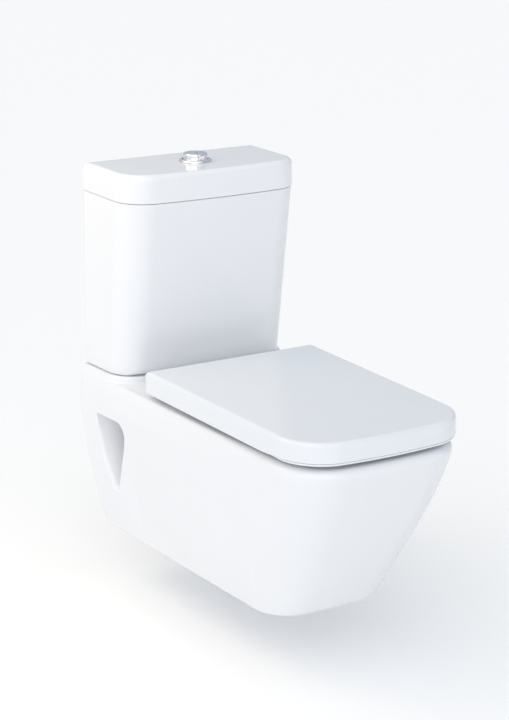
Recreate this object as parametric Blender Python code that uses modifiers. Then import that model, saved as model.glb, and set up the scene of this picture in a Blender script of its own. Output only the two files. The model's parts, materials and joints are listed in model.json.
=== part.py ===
"""Wall-hung close coupled toilet: pan, cistern, soft-close seat, flush and fill valves, fixings.

Units are metres and +Z is up. The wall is the plane y = 0 and the toilet points to -Y.
The origin is midway between the two wall studs, on the pan's back face.
Heights named H_... are above the pan's underside; up() turns them into world z.
"""
import math

import bmesh
import bpy
from mathutils import Matrix, Vector

COLLECTION = "close_coupled_toilet"
TOUCH = 0.0003            # gap kept between pieces that touch
MERGE = 0.00001

# ---- pan -------------------------------------------------------------------------------
H_STUD = 0.210            # wall studs above the pan's underside
STUD_X = 0.090            # half of the standard 180 mm stud spacing
H_RIM = 0.308             # rim and seat deck
H_PLINTH = 0.3194         # raised plinth under the cistern
H_BULGE = 0.252           # height where the back of the pan is widest
PAN_HALF = 0.1896         # half-width there
PAN_REAR_DROP = 0.0512    # narrowing from there down to the underside
PAN_TOP_DROP = 0.0062     # narrowing from there up to the plinth's top
RIM_FRONT = 0.7164        # rim's front from the wall
RIM_FRONT_HALF = 0.1612
RIM_CORNER = 0.092
RIM_BOW = 0.010           # bow of the front edge
RIM_SHOULDER = 0.0166
BASE_FRONT = 0.5507
BASE_FRONT_HALF = 0.115
BASE_CORNER = 0.064
BASE_BOW = 0.009
BASE_EDGE = 0.008
CREASE_Y = 0.150          # where the rear flange flares out of the body
CREASE_DEPTH = 0.0075
PAN_WALL = 0.011          # ceramic thickness of skin and bowl
PIPE_WALL = 0.009         # and of the passages
OUTLET_DROP = 0.100       # waste outlet below the studs
SPIGOT_R = 0.051
GROOVE_R = 0.071          # space around the spigot for the wall connector
GROOVE_DEPTH = 0.036
OUTLET_R = 0.043
POCKET_TOP = 0.2395
POCKET_EDGES = (          # height, and distance of the pocket's rear and front edge from the wall
    (0.0945, 0.070, 0.074), (0.1155, 0.067, 0.084), (0.1390, 0.062, 0.097), (0.1650, 0.057, 0.111),
    (0.2000, 0.053, 0.130), (0.2180, 0.052, 0.139))
POCKET_ROUND = 0.018      # its upper front corner
POCKET_BACK = 0.033       # the pocket's back wall, where the wall nut sits
POCKET_INNER_X = 0.067

# ---- cistern ---------------------------------------------------------------------------
H_TANK = 0.3200
H_TANK_TOP = 0.6365
TANK_TOP_HALF = 0.1747
TANK_TOP_DEPTH = 0.1822
TANK_TOP_BOW = 0.0108
TANK_BASE_HALF = (0.1783, 0.1712)
TANK_BASE_DEPTH = 0.1348
TANK_BASE_BOW = 0.0052
TANK_CORNER = (0.0575, 0.053)
TANK_WALL = 0.009
TANK_FLOOR = 0.010
TANK_EDGE = 0.005
H_COVER = 0.6375
H_COVER_TOP = 0.6872
COVER_OVERHANG = 0.0025
COVER_EDGE = 0.011

# ---- button ----------------------------------------------------------------------------
BUTTON_Y = -0.095
BUTTON_R = 0.0225
BUTTON_TOP = 0.0163       # above the cistern lid
BUTTON_TURN = math.radians(16.0)
FLANGE_R = 0.0292
SLEEVE_R = 0.0245
ROD_X = 0.014
ROD_Y = -0.100

# ---- valves ----------------------------------------------------------------------------
VALVE_Y = -0.060
FILL_X = 0.120
FILL_Y = -0.066
LEVER_X = 0.099
LINK_X = 0.077
COUPLING_X = 0.085
COUPLING_Y = -0.088

# ---- seat ------------------------------------------------------------------------------
SEAT_REAR = 0.213
SEAT_FRONT = 0.7147
SEAT_HALF = (0.171, 0.163)
SEAT_CORNER = 0.082
SEAT_BOW = 0.0158
H_SEAT = 0.317            # underside of the seat ring
H_SEAM = 0.3220           # seam between ring and lid
H_RING_TOP = 0.338
H_LID_TOP = 0.3555
LID_WALL = 0.004
LID_EDGE = 0.007
HINGE_Y = -0.222
H_HINGE = 0.341
POST_X = 0.0775
PIN_R = 0.003


def up(height):
    """World z of a height above the pan's underside."""
    return height - H_STUD


# ---- scene and materials ---------------------------------------------------------------
def clear_scene():
    for old in list(bpy.data.objects):
        bpy.data.objects.remove(old, do_unlink=True)


def new_collection(name):
    group = bpy.data.collections.new(name)
    bpy.context.scene.collection.children.link(group)
    return group


def new_material(name, colour, roughness, metallic=0.0):
    mat = bpy.data.materials.new(name)
    mat.use_nodes = True
    shader = mat.node_tree.nodes["Principled BSDF"]
    shader.inputs["Base Color"].default_value = (*colour, 1.0)
    shader.inputs["Roughness"].default_value = roughness
    shader.inputs["Metallic"].default_value = metallic
    return mat


clear_scene()
PARTS = new_collection(COLLECTION)
CUTTERS = new_collection("cutters")
FINISHES = {
    "glaze": ((0.90, 0.91, 0.93), 0.08, 0.0),
    "seat_white": ((0.86, 0.88, 0.91), 0.16, 0.0),
    "chrome": ((0.80, 0.81, 0.83), 0.06, 1.0),
    "steel": ((0.60, 0.60, 0.61), 0.30, 1.0),
    "brass": ((0.78, 0.60, 0.30), 0.30, 1.0),
    "white_plastic": ((0.82, 0.83, 0.84), 0.40, 0.0),
    "grey_plastic": ((0.45, 0.47, 0.50), 0.45, 0.0),
    "blue_plastic": ((0.10, 0.25, 0.55), 0.45, 0.0),
    "rubber": ((0.05, 0.05, 0.055), 0.70, 0.0),
    "pad": ((0.75, 0.76, 0.78), 0.55, 0.0),
}


def finish_object(obj, mat_name, smooth_angle=35.0):
    """Give a part its own material and smooth shading, and file it with the parts."""
    mesh = obj.data
    mesh.materials.clear()
    mesh.materials.append(new_material(obj.name, *FINISHES[mat_name]))
    mesh.shade_smooth()
    mesh.set_sharp_from_angle(angle=math.radians(smooth_angle))
    return obj


def make_object(name, bm, group):
    mesh = bpy.data.meshes.new(name)
    bmesh.ops.recalc_face_normals(bm, faces=bm.faces)
    bm.to_mesh(mesh)
    bm.free()
    obj = bpy.data.objects.new(name, mesh)
    group.objects.link(obj)
    return obj


def as_cutter(obj):
    for group in list(obj.users_collection):
        group.objects.unlink(obj)
    CUTTERS.objects.link(obj)
    obj.hide_render = True
    obj.display_type = "WIRE"
    return obj


def boolean(obj, other, operation):
    step = obj.modifiers.new(other.name, "BOOLEAN")
    step.operation = operation
    step.object = as_cutter(other)
    step.solver = "EXACT"
    return obj


def cut(obj, *others):
    for other in others:
        boolean(obj, other, "DIFFERENCE")
    return obj


def join(obj, *others):
    for other in others:
        boolean(obj, other, "UNION")
    return obj


# ---- outlines and lofts ----------------------------------------------------------------
def d_outline(half_rear, half_front, y_rear, depth, bow, corner, kink=None, steps=7, front_steps=4):
    """A D-shaped plan: straight back, tapering sides, round front corners, bowed front.

    kink is (distance from the wall, amount pulled in) for a crease in each side.
    Returns the whole outline, from the middle of the back by +X round to -X.
    """
    front_r = (half_front ** 2 + bow ** 2) / (2 * bow)
    front_c = Vector((0.0, -depth + front_r))
    start = Vector((half_rear, y_rear))
    end = Vector((half_front, -depth + bow))
    along = (end - start).normalized()
    inward = Vector((along.y, -along.x))
    if inward.x > 0:
        inward = -inward
    offset = start + inward * corner - front_c
    reach = offset.dot(along)
    run = -reach + math.sqrt(max(reach ** 2 - offset.length_squared + (front_r - corner) ** 2, 0.0))
    centre = start + inward * corner + along * run
    first = math.atan2(-inward.y, -inward.x)
    to_front = (centre - front_c).normalized()
    last = math.atan2(to_front.y, to_front.x)
    half = [start]
    if kink:
        share = (kink[0] + y_rear) / (y_rear - centre.y)
        half.append(start.lerp(centre - inward * corner, share) + inward * kink[1])
    for i in range(steps + 1):
        turn = first + (last - first) * i / steps
        half.append(centre + Vector((math.cos(turn), math.sin(turn))) * corner)
    for i in range(1, front_steps + 1):
        turn = last + (-math.pi / 2 - last) * i / front_steps
        half.append(front_c + Vector((math.cos(turn), math.sin(turn))) * front_r)
    other = [Vector((-p.x, p.y)) for p in reversed(half[:-1])]
    return half + other


def oval(half_x, half_y, y_centre, power=2.3, count=28):
    """A rounded oval plan (a superellipse)."""
    points = []
    for i in range(count):
        turn = 2 * math.pi * i / count
        c, s = math.cos(turn), math.sin(turn)
        points.append(Vector((half_x * math.copysign(abs(c) ** (2 / power), c),
                              y_centre + half_y * math.copysign(abs(s) ** (2 / power), s))))
    return points


def loft(name, sections, group=None):
    """A closed solid through plans of equal point count: sections are (world z, outline)."""
    bm = bmesh.new()
    rings = [[bm.verts.new((p.x, p.y, z)) for p in outline] for z, outline in sections]
    for low, high in zip(rings[:-1], rings[1:]):
        for i in range(len(low)):
            j = (i + 1) % len(low)
            bm.faces.new((low[i], low[j], high[j], high[i]))
    bm.faces.new(reversed(rings[0]))
    bm.faces.new(rings[-1])
    return make_object(name, bm, group or PARTS)


def swept(name, stations, count=16, group=None):
    """A round passage through stations (y, world z, radius) at x = 0."""
    bm = bmesh.new()
    rings = []
    for i, (y, z, radius) in enumerate(stations):
        before = stations[max(i - 1, 0)]
        after = stations[min(i + 1, len(stations) - 1)]
        along = Vector((0, after[0] - before[0], after[1] - before[1])).normalized()
        across = Vector((1, 0, 0))
        other = along.cross(across)
        centre = Vector((0, y, z))
        rings.append([bm.verts.new(centre + (across * math.cos(t) + other * math.sin(t)) * radius)
                      for t in (2 * math.pi * k / count for k in range(count))])
    for low, high in zip(rings[:-1], rings[1:]):
        for k in range(count):
            m = (k + 1) % count
            bm.faces.new((low[k], low[m], high[m], high[k]))
    bm.faces.new(reversed(rings[0]))
    bm.faces.new(rings[-1])
    return make_object(name, bm, group or CUTTERS)


# ---- plain solids ----------------------------------------------------------------------
def box(name, low, high, group=None):
    bm = bmesh.new()
    bmesh.ops.create_cube(bm, size=1.0)
    size = Vector(high) - Vector(low)
    middle = (Vector(high) + Vector(low)) / 2
    bmesh.ops.transform(bm, matrix=Matrix.Translation(middle) @ Matrix.Diagonal((*size, 1.0)), verts=bm.verts)
    return make_object(name, bm, group or CUTTERS)


def rod(name, start, end, radius, count=12, group=None, radius_end=None):
    """A cylinder or cone from start to end."""
    start, end = Vector(start), Vector(end)
    along = end - start
    bm = bmesh.new()
    bmesh.ops.create_cone(bm, cap_ends=True, segments=count, radius1=radius,
                          radius2=radius if radius_end is None else radius_end, depth=along.length)
    turn = Vector((0, 0, 1)).rotation_difference(along.normalized()).to_matrix().to_4x4()
    bmesh.ops.transform(bm, matrix=Matrix.Translation((start + end) / 2) @ turn, verts=bm.verts)
    return make_object(name, bm, group or CUTTERS)


def turned(name, profile, centre, count=20, group=None, closed=True):
    """A turned piece: profile points (radius, z above centre) run down the outside first."""
    mesh = bpy.data.meshes.new(name)
    verts = [(r, 0.0, z) for r, z in profile]
    edges = [(i, i + 1) for i in range(len(verts) - 1)]
    if closed:
        edges.append((len(verts) - 1, 0))
    mesh.from_pydata(verts, edges, [])
    obj = bpy.data.objects.new(name, mesh)
    (group or PARTS).objects.link(obj)
    obj.location = centre
    screw = obj.modifiers.new("turn", "SCREW")
    screw.steps = count
    screw.render_steps = count
    screw.use_merge_vertices = True
    screw.merge_threshold = MERGE
    return obj


def washer(name, centre, outer, inner, low, high, count=16, group=None):
    """A flat ring standing between the heights low and high."""
    profile = [(outer, high), (outer, low), (inner, low), (inner, high)]
    return turned(name, profile, (centre[0], centre[1], 0.0), count, group)


def hex_nut(name, start, end, outer, inner, group=None):
    """A hexagonal nut with a round bore, from start to end."""
    nut = rod(name, start, end, outer, 6, group or PARTS)
    reach = (Vector(end) - Vector(start)).normalized() * 0.002
    cut(nut, rod(name + "_bore", Vector(start) - reach, Vector(end) + reach, inner, 14))
    return nut


def finish_turned(obj, mat_name):
    obj.data.materials.append(new_material(obj.name, *FINISHES[mat_name]))
    return obj


def set_origin(obj, point):
    """Move an object's origin to a point on its joint's axis, leaving its mesh in place."""
    offset = Vector(point) - obj.location
    obj.data.transform(Matrix.Translation(-offset))
    obj.location = Vector(point)
    return obj


# ---- pan -------------------------------------------------------------------------------
def eased(low, high, share, power):
    return high - (high - low) * (1 - share) ** power


def pan_half_width(height):
    """Half-width of the pan's back edge: widest at H_BULGE, narrowing above and below."""
    if height < H_BULGE:
        return PAN_HALF - PAN_REAR_DROP * ((H_BULGE - height) / H_BULGE) ** 1.62
    return PAN_HALF - PAN_TOP_DROP * ((height - H_BULGE) / (H_PLINTH - H_BULGE)) ** 2.4


def crease_depth(height):
    """How far the sides are pulled in at the crease: none at the rim and at the underside."""
    share = min(max(height / (POCKET_TOP + 0.02), 0.0), 1.0)
    return CREASE_DEPTH * math.sin(math.pi * share) ** 0.8


def pan_outline(height, inset):
    share = height / H_RIM
    corner = eased(BASE_CORNER, RIM_CORNER, share, 4.7) - inset
    return d_outline(pan_half_width(height) - inset,
                     eased(BASE_FRONT_HALF, RIM_FRONT_HALF, share, 2.2) - inset,
                     0.0,
                     eased(BASE_FRONT, RIM_FRONT, share, 1.19) - inset,
                     eased(BASE_BOW, RIM_BOW, share, 1.0),
                     corner, kink=(CREASE_Y, crease_depth(height)))


def pan_sections():
    """Plans from the underside's rounded edge to the rim's rounded shoulder."""
    plans = [(h, BASE_EDGE - math.sqrt(max(BASE_EDGE ** 2 - (BASE_EDGE - h) ** 2, 0)))
             for h in (0.0, BASE_EDGE * 0.3, BASE_EDGE)]
    straight_top = H_RIM - RIM_SHOULDER
    for i in range(1, 11):
        plans.append((BASE_EDGE + (straight_top - BASE_EDGE) * i / 10, 0.0))
    for i in range(1, 6):
        turn = math.pi / 2 * i / 5
        plans.append((straight_top + RIM_SHOULDER * math.sin(turn),
                      RIM_SHOULDER * (1 - math.cos(turn))))
    return [(up(h), pan_outline(h, inset)) for h, inset in plans]


def plinth_outline(height, inset):
    half = pan_half_width(height) - 0.0002 - inset
    return d_outline(half, half - 0.006, 0.0, TANK_BASE_DEPTH + 0.004 - inset, TANK_BASE_BOW,
                     TANK_CORNER[0] + 0.004 - inset)


def make_plinth():
    edge = 0.003
    plans = [(0.262, 0.0), (0.280, 0.0), (0.298, 0.0), (H_PLINTH - edge, 0.0),
             (H_PLINTH - edge * 0.3, edge * 0.3), (H_PLINTH, edge)]
    return loft("plinth", [(up(h), plinth_outline(h, inset)) for h, inset in plans], CUTTERS)


def make_bowl_cutter(grow=0.0):
    """The bowl: a rounded opening that narrows to a sump near the back; grow adds a wall's thickness."""
    plans = [(H_RIM + 0.010, 0.117, 0.186, -0.476), (H_RIM - 0.004, 0.117, 0.186, -0.476),
             (H_RIM - 0.020, 0.123, 0.192, -0.476), (0.262, 0.123, 0.190, -0.472),
             (0.215, 0.108, 0.170, -0.455), (0.165, 0.086, 0.132, -0.424),
             (0.120, 0.066, 0.090, -0.388), (0.075, 0.050, 0.060, -0.358),
             (0.035, 0.038, 0.042, -0.340), (0.014, 0.022, 0.024, -0.336)]
    lift = grow if grow else 0.0
    return loft("bowl_cutter", [(up(h) - (lift if i == len(plans) - 1 else 0.0), oval(hx + grow, hy + grow, yc))
                                for i, (h, hx, hy, yc) in enumerate(plans)], CUTTERS)


def make_trap_cutter(grow=0.0):
    """The water trap: back from the sump, over the weir and down to the wall outlet."""
    outlet = H_STUD - OUTLET_DROP
    stations = [(-0.345, 0.044, 0.026), (-0.285, 0.044, 0.026), (-0.245, 0.062, 0.026),
                (-0.222, 0.100, 0.026), (-0.198, 0.132, 0.026), (-0.160, 0.139, 0.027),
                (-0.120, 0.126, 0.032), (-0.080, 0.112, 0.040), (-0.050, outlet, OUTLET_R),
                (0.020, outlet, OUTLET_R)]
    return swept("trap_cutter", [(y, up(h), radius + grow) for y, h, radius in stations])


def make_inlet_cutter(grow=0.0):
    """The flush way: from the well under the cistern, down and forward into the bowl."""
    stations = [(VALVE_Y, 0.310, 0.024), (VALVE_Y, 0.272, 0.024), (VALVE_Y - 0.012, 0.250, 0.023),
                (VALVE_Y - 0.045, 0.236, 0.022), (-0.200, 0.234, 0.021), (-0.320, 0.234, 0.020)]
    return swept("inlet_cutter", [(y, up(h), radius + grow) for y, h, radius in stations])


def make_pocket_cutter(side, grow=0.0):
    """The triangular side pocket that gives a hand the way to the wall nuts.

    At the skin its rear edge stands off the wall; deeper in it falls back to the nut's seat.
    """
    skin_x, nut_x = 0.178, 0.118

    def plan(height, y_low, y_high, inner):
        back = min(POCKET_BACK, y_low) - grow
        share = min(max((height - 0.150) / 0.035, 0.0), 1.0)
        back += (1 - share) * (y_low - grow - back)
        y_low, y_high, inner = y_low - grow, y_high + grow, inner - grow
        round_y = min(0.012, (y_high - y_low) * 0.35)
        points = [(0.215, -y_low), (0.215, -y_high), (inner + 0.012, -y_high), (inner, -y_high + round_y),
                  (inner, -back), (max(nut_x, inner + 0.006), -back), (skin_x, -y_low)]
        return up(height), [Vector((side * x, y)) for x, y in points]
    inner = (0.158, 0.150, 0.134, 0.112, 0.080, POCKET_INNER_X)
    sections = [plan(*edges, x) for edges, x in zip(POCKET_EDGES, inner)]
    rear, front = POCKET_EDGES[-1][1:]
    for turn in (30, 60, 90):
        turn = math.radians(turn)
        sections.append(plan(POCKET_TOP - POCKET_ROUND * (1 - math.sin(turn)), rear,
                             front + 0.001 - POCKET_ROUND * (1 - math.cos(turn)), POCKET_INNER_X))
    if grow:
        sections[0] = (sections[0][0] - grow, sections[0][1])
        sections[-1] = (sections[-1][0] + grow, sections[-1][1])
    return loft(f"pocket_cutter_{side}", sections, CUTTERS)


def make_hollow_cutter():
    """The hollow between the outer skin and the bowl, left open around the outlet spigot.

    It is the outer shape drawn in by the wall, less the bowl, passages and bosses grown by theirs.
    """
    rear = PAN_WALL
    low, high = PAN_WALL, H_RIM - PAN_WALL
    steps = 7
    plans = []
    for i in range(steps + 1):
        height = low + (high - low) * i / steps
        inset = PAN_WALL + (0.007 if i == steps else 0.0)
        outline = [Vector((p.x, min(p.y, -rear))) for p in pan_outline(height, inset)]
        plans.append((up(height), outline))
    hollow = loft("pan_hollow", plans, CUTTERS)
    cut(hollow, make_bowl_cutter(PAN_WALL), make_trap_cutter(PIPE_WALL), make_inlet_cutter(PIPE_WALL),
        rod("well_boss", (0, VALVE_Y, up(0.286)), (0, VALVE_Y, up(0.340)), 0.062, 20),
        box("supply_boss", (FILL_X - 0.031, -0.101, up(0.233)), (FILL_X + 0.031, 0.0, up(0.330))))
    for side in (-1, 1):
        cut(hollow, make_pocket_cutter(side, PIPE_WALL),
            rod(f"stud_boss_{side}", (side * STUD_X, 0.0, 0), (side * STUD_X, -0.100, 0), 0.030, 16),
            rod(f"hinge_boss_{side}", (side * POST_X, HINGE_Y, up(0.248)), (side * POST_X, HINGE_Y, up(0.330)),
                0.017, 12))
    return hollow


def make_pan():
    pan = loft("pan", pan_sections())
    join(pan, make_plinth())
    cut(pan, make_hollow_cutter(), make_bowl_cutter(), make_trap_cutter(), make_inlet_cutter())
    outlet_z = -OUTLET_DROP
    groove = turned("spigot_groove", [(GROOVE_R, 0.020), (GROOVE_R, -GROOVE_DEPTH), (SPIGOT_R, -GROOVE_DEPTH),
                                      (SPIGOT_R, 0.020)], (0, 0, outlet_z), 24, CUTTERS)
    groove.rotation_euler = (-math.pi / 2, 0, 0)
    recess = rod("spigot_recess", (0, -0.003, outlet_z), (0, 0.020, outlet_z), 0.0545, 24)
    cut(pan, groove, recess)
    well = rod("inlet_well", (0, VALVE_Y, up(0.297)), (0, VALVE_Y, up(0.340)), 0.0525, 24)
    supply = box("supply_hollow", (FILL_X - 0.022, -0.092, up(0.243)), (FILL_X + 0.022, 0.010, up(0.330)))
    cut(pan, well, supply)
    for side in (-1, 1):
        stud = rod(f"stud_bore_{side}", (side * STUD_X, 0.010, 0), (side * STUD_X, -0.100, 0), 0.011, 14)
        seat = rod(f"nut_seat_{side}", (side * STUD_X, -POCKET_BACK, 0), (side * STUD_X, -0.075, 0), 0.0185, 16)
        bolt = rod(f"coupling_bore_{side}", (side * COUPLING_X, COUPLING_Y, up(0.215)),
                   (side * COUPLING_X, COUPLING_Y, up(0.330)), 0.006, 12)
        hinge = rod(f"hinge_bore_{side}", (side * POST_X, HINGE_Y, up(0.258)),
                    (side * POST_X, HINGE_Y, up(0.320)), 0.0072, 12)
        cut(pan, make_pocket_cutter(side), stud, seat, bolt, hinge)
    return finish_object(pan, "glaze")


# ---- cistern ---------------------------------------------------------------------------
def tank_outline(height, inset):
    share = (height - H_TANK) / (H_TANK_TOP - H_TANK)

    def mix(low, high):
        return low + (high - low) * share
    return d_outline(mix(TANK_BASE_HALF[0], TANK_TOP_HALF) - inset,
                     mix(TANK_BASE_HALF[1], TANK_TOP_HALF) - inset,
                     -max(inset, 0.0),
                     mix(TANK_BASE_DEPTH, TANK_TOP_DEPTH) - inset,
                     mix(TANK_BASE_BOW, TANK_TOP_BOW),
                     mix(*TANK_CORNER) - inset)


def rounded_plans(low, high, edge_low, edge_high, inset=0.0, steps=3):
    """(height, inset) pairs for a solid whose lower and upper edges are rounded."""
    plans = []
    for i in range(steps + 1):
        turn = math.pi / 2 * i / steps
        if edge_low:
            plans.append((low + edge_low * (1 - math.cos(turn)), inset + edge_low * (1 - math.sin(turn))))
    if not edge_low:
        plans.append((low, inset))
    if not edge_high:
        plans.append((high, inset))
    for i in range(steps + 1):
        turn = math.pi / 2 * i / steps
        if edge_high:
            plans.append((high - edge_high * (1 - math.sin(turn)), inset + edge_high * (1 - math.cos(turn))))
    return plans


def tank_solid(name, low, high, edge_low, edge_high, inset, group):
    plans = rounded_plans(low, high, edge_low, edge_high, inset)
    return loft(name, [(up(h), tank_outline(h, i)) for h, i in plans], group)


def make_tank():
    tank = tank_solid("cistern_tank", H_TANK, H_TANK_TOP, TANK_EDGE, 0.0, 0.0, PARTS)
    cut(tank, tank_solid("tank_cavity", H_TANK + TANK_FLOOR, H_TANK_TOP + 0.02, 0.006, 0.0, TANK_WALL, CUTTERS))
    low, high = up(H_TANK - 0.01), up(H_TANK + 0.03)
    cut(tank, rod("flush_hole", (0, VALVE_Y, low), (0, VALVE_Y, high), 0.032, 20),
        rod("fill_hole", (FILL_X, FILL_Y, low), (FILL_X, FILL_Y, high), 0.0112, 14))
    for side in (-1, 1):
        cut(tank, rod(f"tank_bolt_hole_{side}", (side * COUPLING_X, COUPLING_Y, low),
                      (side * COUPLING_X, COUPLING_Y, high), 0.0055, 12))
    return finish_object(tank, "glaze")


def cover_outline(inset):
    outline = tank_outline(H_TANK_TOP, inset - COVER_OVERHANG)
    rear = -max(inset, 0.0)
    return [Vector((p.x, min(p.y, rear))) for p in outline]


def cover_solid(name, low, high, edge_high, inset, group):
    plans = rounded_plans(low, high, 0.0, edge_high, inset)
    return loft(name, [(up(h), cover_outline(i)) for h, i in plans], group)


def make_cover():
    cover = cover_solid("cistern_lid", H_COVER, H_COVER_TOP, COVER_EDGE, 0.0, PARTS)
    join(cover, cover_solid("lid_lip", H_COVER - 0.009, H_COVER + 0.012, 0.0, 0.0140, CUTTERS))
    cut(cover, cover_solid("lid_cavity", H_COVER - 0.030, H_COVER_TOP - 0.010, 0.006, 0.0185, CUTTERS),
        rod("button_hole", (0, BUTTON_Y, up(0.66)), (0, BUTTON_Y, up(0.70)), SLEEVE_R + 0.0006, 24))
    return finish_object(cover, "glaze")


# ---- flush button ----------------------------------------------------------------------
def make_collar():
    top = H_COVER_TOP + TOUCH
    well = BUTTON_R + 0.0006
    profile = [(well + 0.0006, top + 0.0050), (FLANGE_R - 0.002, top + 0.0040), (FLANGE_R, top + 0.002),
               (FLANGE_R, top), (SLEEVE_R, top), (SLEEVE_R, 0.650), (0.0195, 0.650), (0.0195, 0.6665),
               (0.0060, 0.6665), (0.0060, 0.6690), (well, 0.6690), (well, top + 0.0044)]
    collar = turned("button_collar", [(r, up(h)) for r, h in profile], (0, BUTTON_Y, 0), 28)
    for side in (-1, 1):
        cut(collar, rod(f"rod_guide_{side}", (side * ROD_X, ROD_Y, up(0.660)),
                        (side * ROD_X, ROD_Y, up(0.672)), 0.0036, 10))
    finish_turned(collar, "chrome")
    bore = SLEEVE_R + 2 * TOUCH
    nut = turned("button_nut", [(r, up(h)) for r, h in ((0.031, 0.6768), (0.031, 0.6715), (0.0285, 0.6670),
                                                        (bore, 0.6670), (bore, 0.6768))],
                 (0, BUTTON_Y, 0), 28)
    finish_turned(nut, "white_plastic")


def make_half_button(name, side):
    """One half of the split button, with rounded top edge."""
    top = H_COVER_TOP + BUTTON_TOP
    profile = [(0.0, top + 0.0006), (0.012, top + 0.0003), (BUTTON_R - 0.0035, top - 0.0004),
               (BUTTON_R - 0.0012, top - 0.0016), (BUTTON_R - 0.0006, top - 0.0040), (BUTTON_R, 0.6770),
               (0.0, 0.6770)]
    half = turned(name, [(r, up(h)) for r, h in profile], (0, BUTTON_Y, 0), 28, closed=False)
    keep = box(f"{name}_side", (0.0004, -0.030, up(0.66)), (0.030, 0.030, up(0.72)))
    keep.data.transform(Matrix.Rotation(-BUTTON_TURN + (math.pi if side < 0 else 0.0), 4, "Z"))
    keep.location = (0, BUTTON_Y, 0)
    boolean(half, keep, "INTERSECT")
    finish_turned(half, "chrome")


def make_buttons():
    make_collar()
    for name, side in (("full_flush", -1), ("half_flush", 1)):
        make_half_button(f"{name}_button", side)
        push = rod(f"{name}_rod", (side * ROD_X, ROD_Y, up(0.4865)), (side * ROD_X, ROD_Y, up(0.6767)),
                   0.0028, 10, PARTS)
        finish_object(push, "white_plastic")


# ---- flush valve -----------------------------------------------------------------------
def make_flush_valve():
    floor = H_TANK + TANK_FLOOR + TOUCH
    here = (0, VALVE_Y, 0)
    basket = turned("flush_valve_basket", [(r, up(h)) for r, h in (
        (0.036, 0.468), (0.036, floor + 0.006), (0.039, floor + 0.0055), (0.039, floor), (0.030, floor),
        (0.030, 0.301), (0.026, 0.301), (0.026, floor + 0.006), (0.0325, floor + 0.006), (0.0325, 0.464),
        (0.0200, 0.464), (0.0200, 0.468))], here, 24)
    for i in range(4):
        turn = math.pi / 4 + math.pi / 2 * i
        window = box(f"basket_window_{i}", (0.020, -0.014, up(floor + 0.009)), (0.045, 0.014, up(0.400)))
        window.data.transform(Matrix.Rotation(turn, 4, "Z"))
        window.location = here
        cut(basket, window)
    house = box("actuator_house", (-0.022, -0.1080, up(0.430)), (0.022, -0.0930, up(0.4680)))
    join(basket, house)
    for side in (-1, 1):
        cut(basket, rod(f"plunger_bore_{side}", (side * ROD_X, ROD_Y, up(0.436)),
                        (side * ROD_X, ROD_Y, up(0.480)), 0.0053, 12))
    finish_turned(basket, "white_plastic")
    canister = turned("flush_canister", [(r, up(h)) for r, h in (
        (0.0165, 0.560), (0.0165, 0.3460), (0.0300, 0.3450), (0.0300, 0.3420), (0.0135, 0.3420), (0.0135, 0.560))],
        here, 20)
    finish_turned(canister, "blue_plastic")
    seal = washer("flush_seal", here, 0.0305, 0.0150, up(floor + 0.0063), up(0.3417), 20)
    finish_turned(seal, "rubber")
    nut = washer("flush_valve_nut", here, 0.0390, 0.0306, up(0.3055), up(H_TANK - TOUCH), 24)
    finish_turned(nut, "white_plastic")
    gasket = turned("coupling_gasket", [(r, up(h)) for r, h in (
        (0.0500, H_TANK - TOUCH), (0.0515, 0.309), (0.0500, 0.2975), (0.0410, 0.2975), (0.0410, H_TANK - TOUCH))],
        here, 20)
    finish_turned(gasket, "rubber")
    for name, side in (("full_flush", -1), ("half_flush", 1)):
        plunger = rod(f"{name}_plunger", (side * ROD_X, ROD_Y, up(0.4450)), (side * ROD_X, ROD_Y, up(0.4860)),
                      0.0050, 12, PARTS)
        finish_object(plunger, "grey_plastic")


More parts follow.
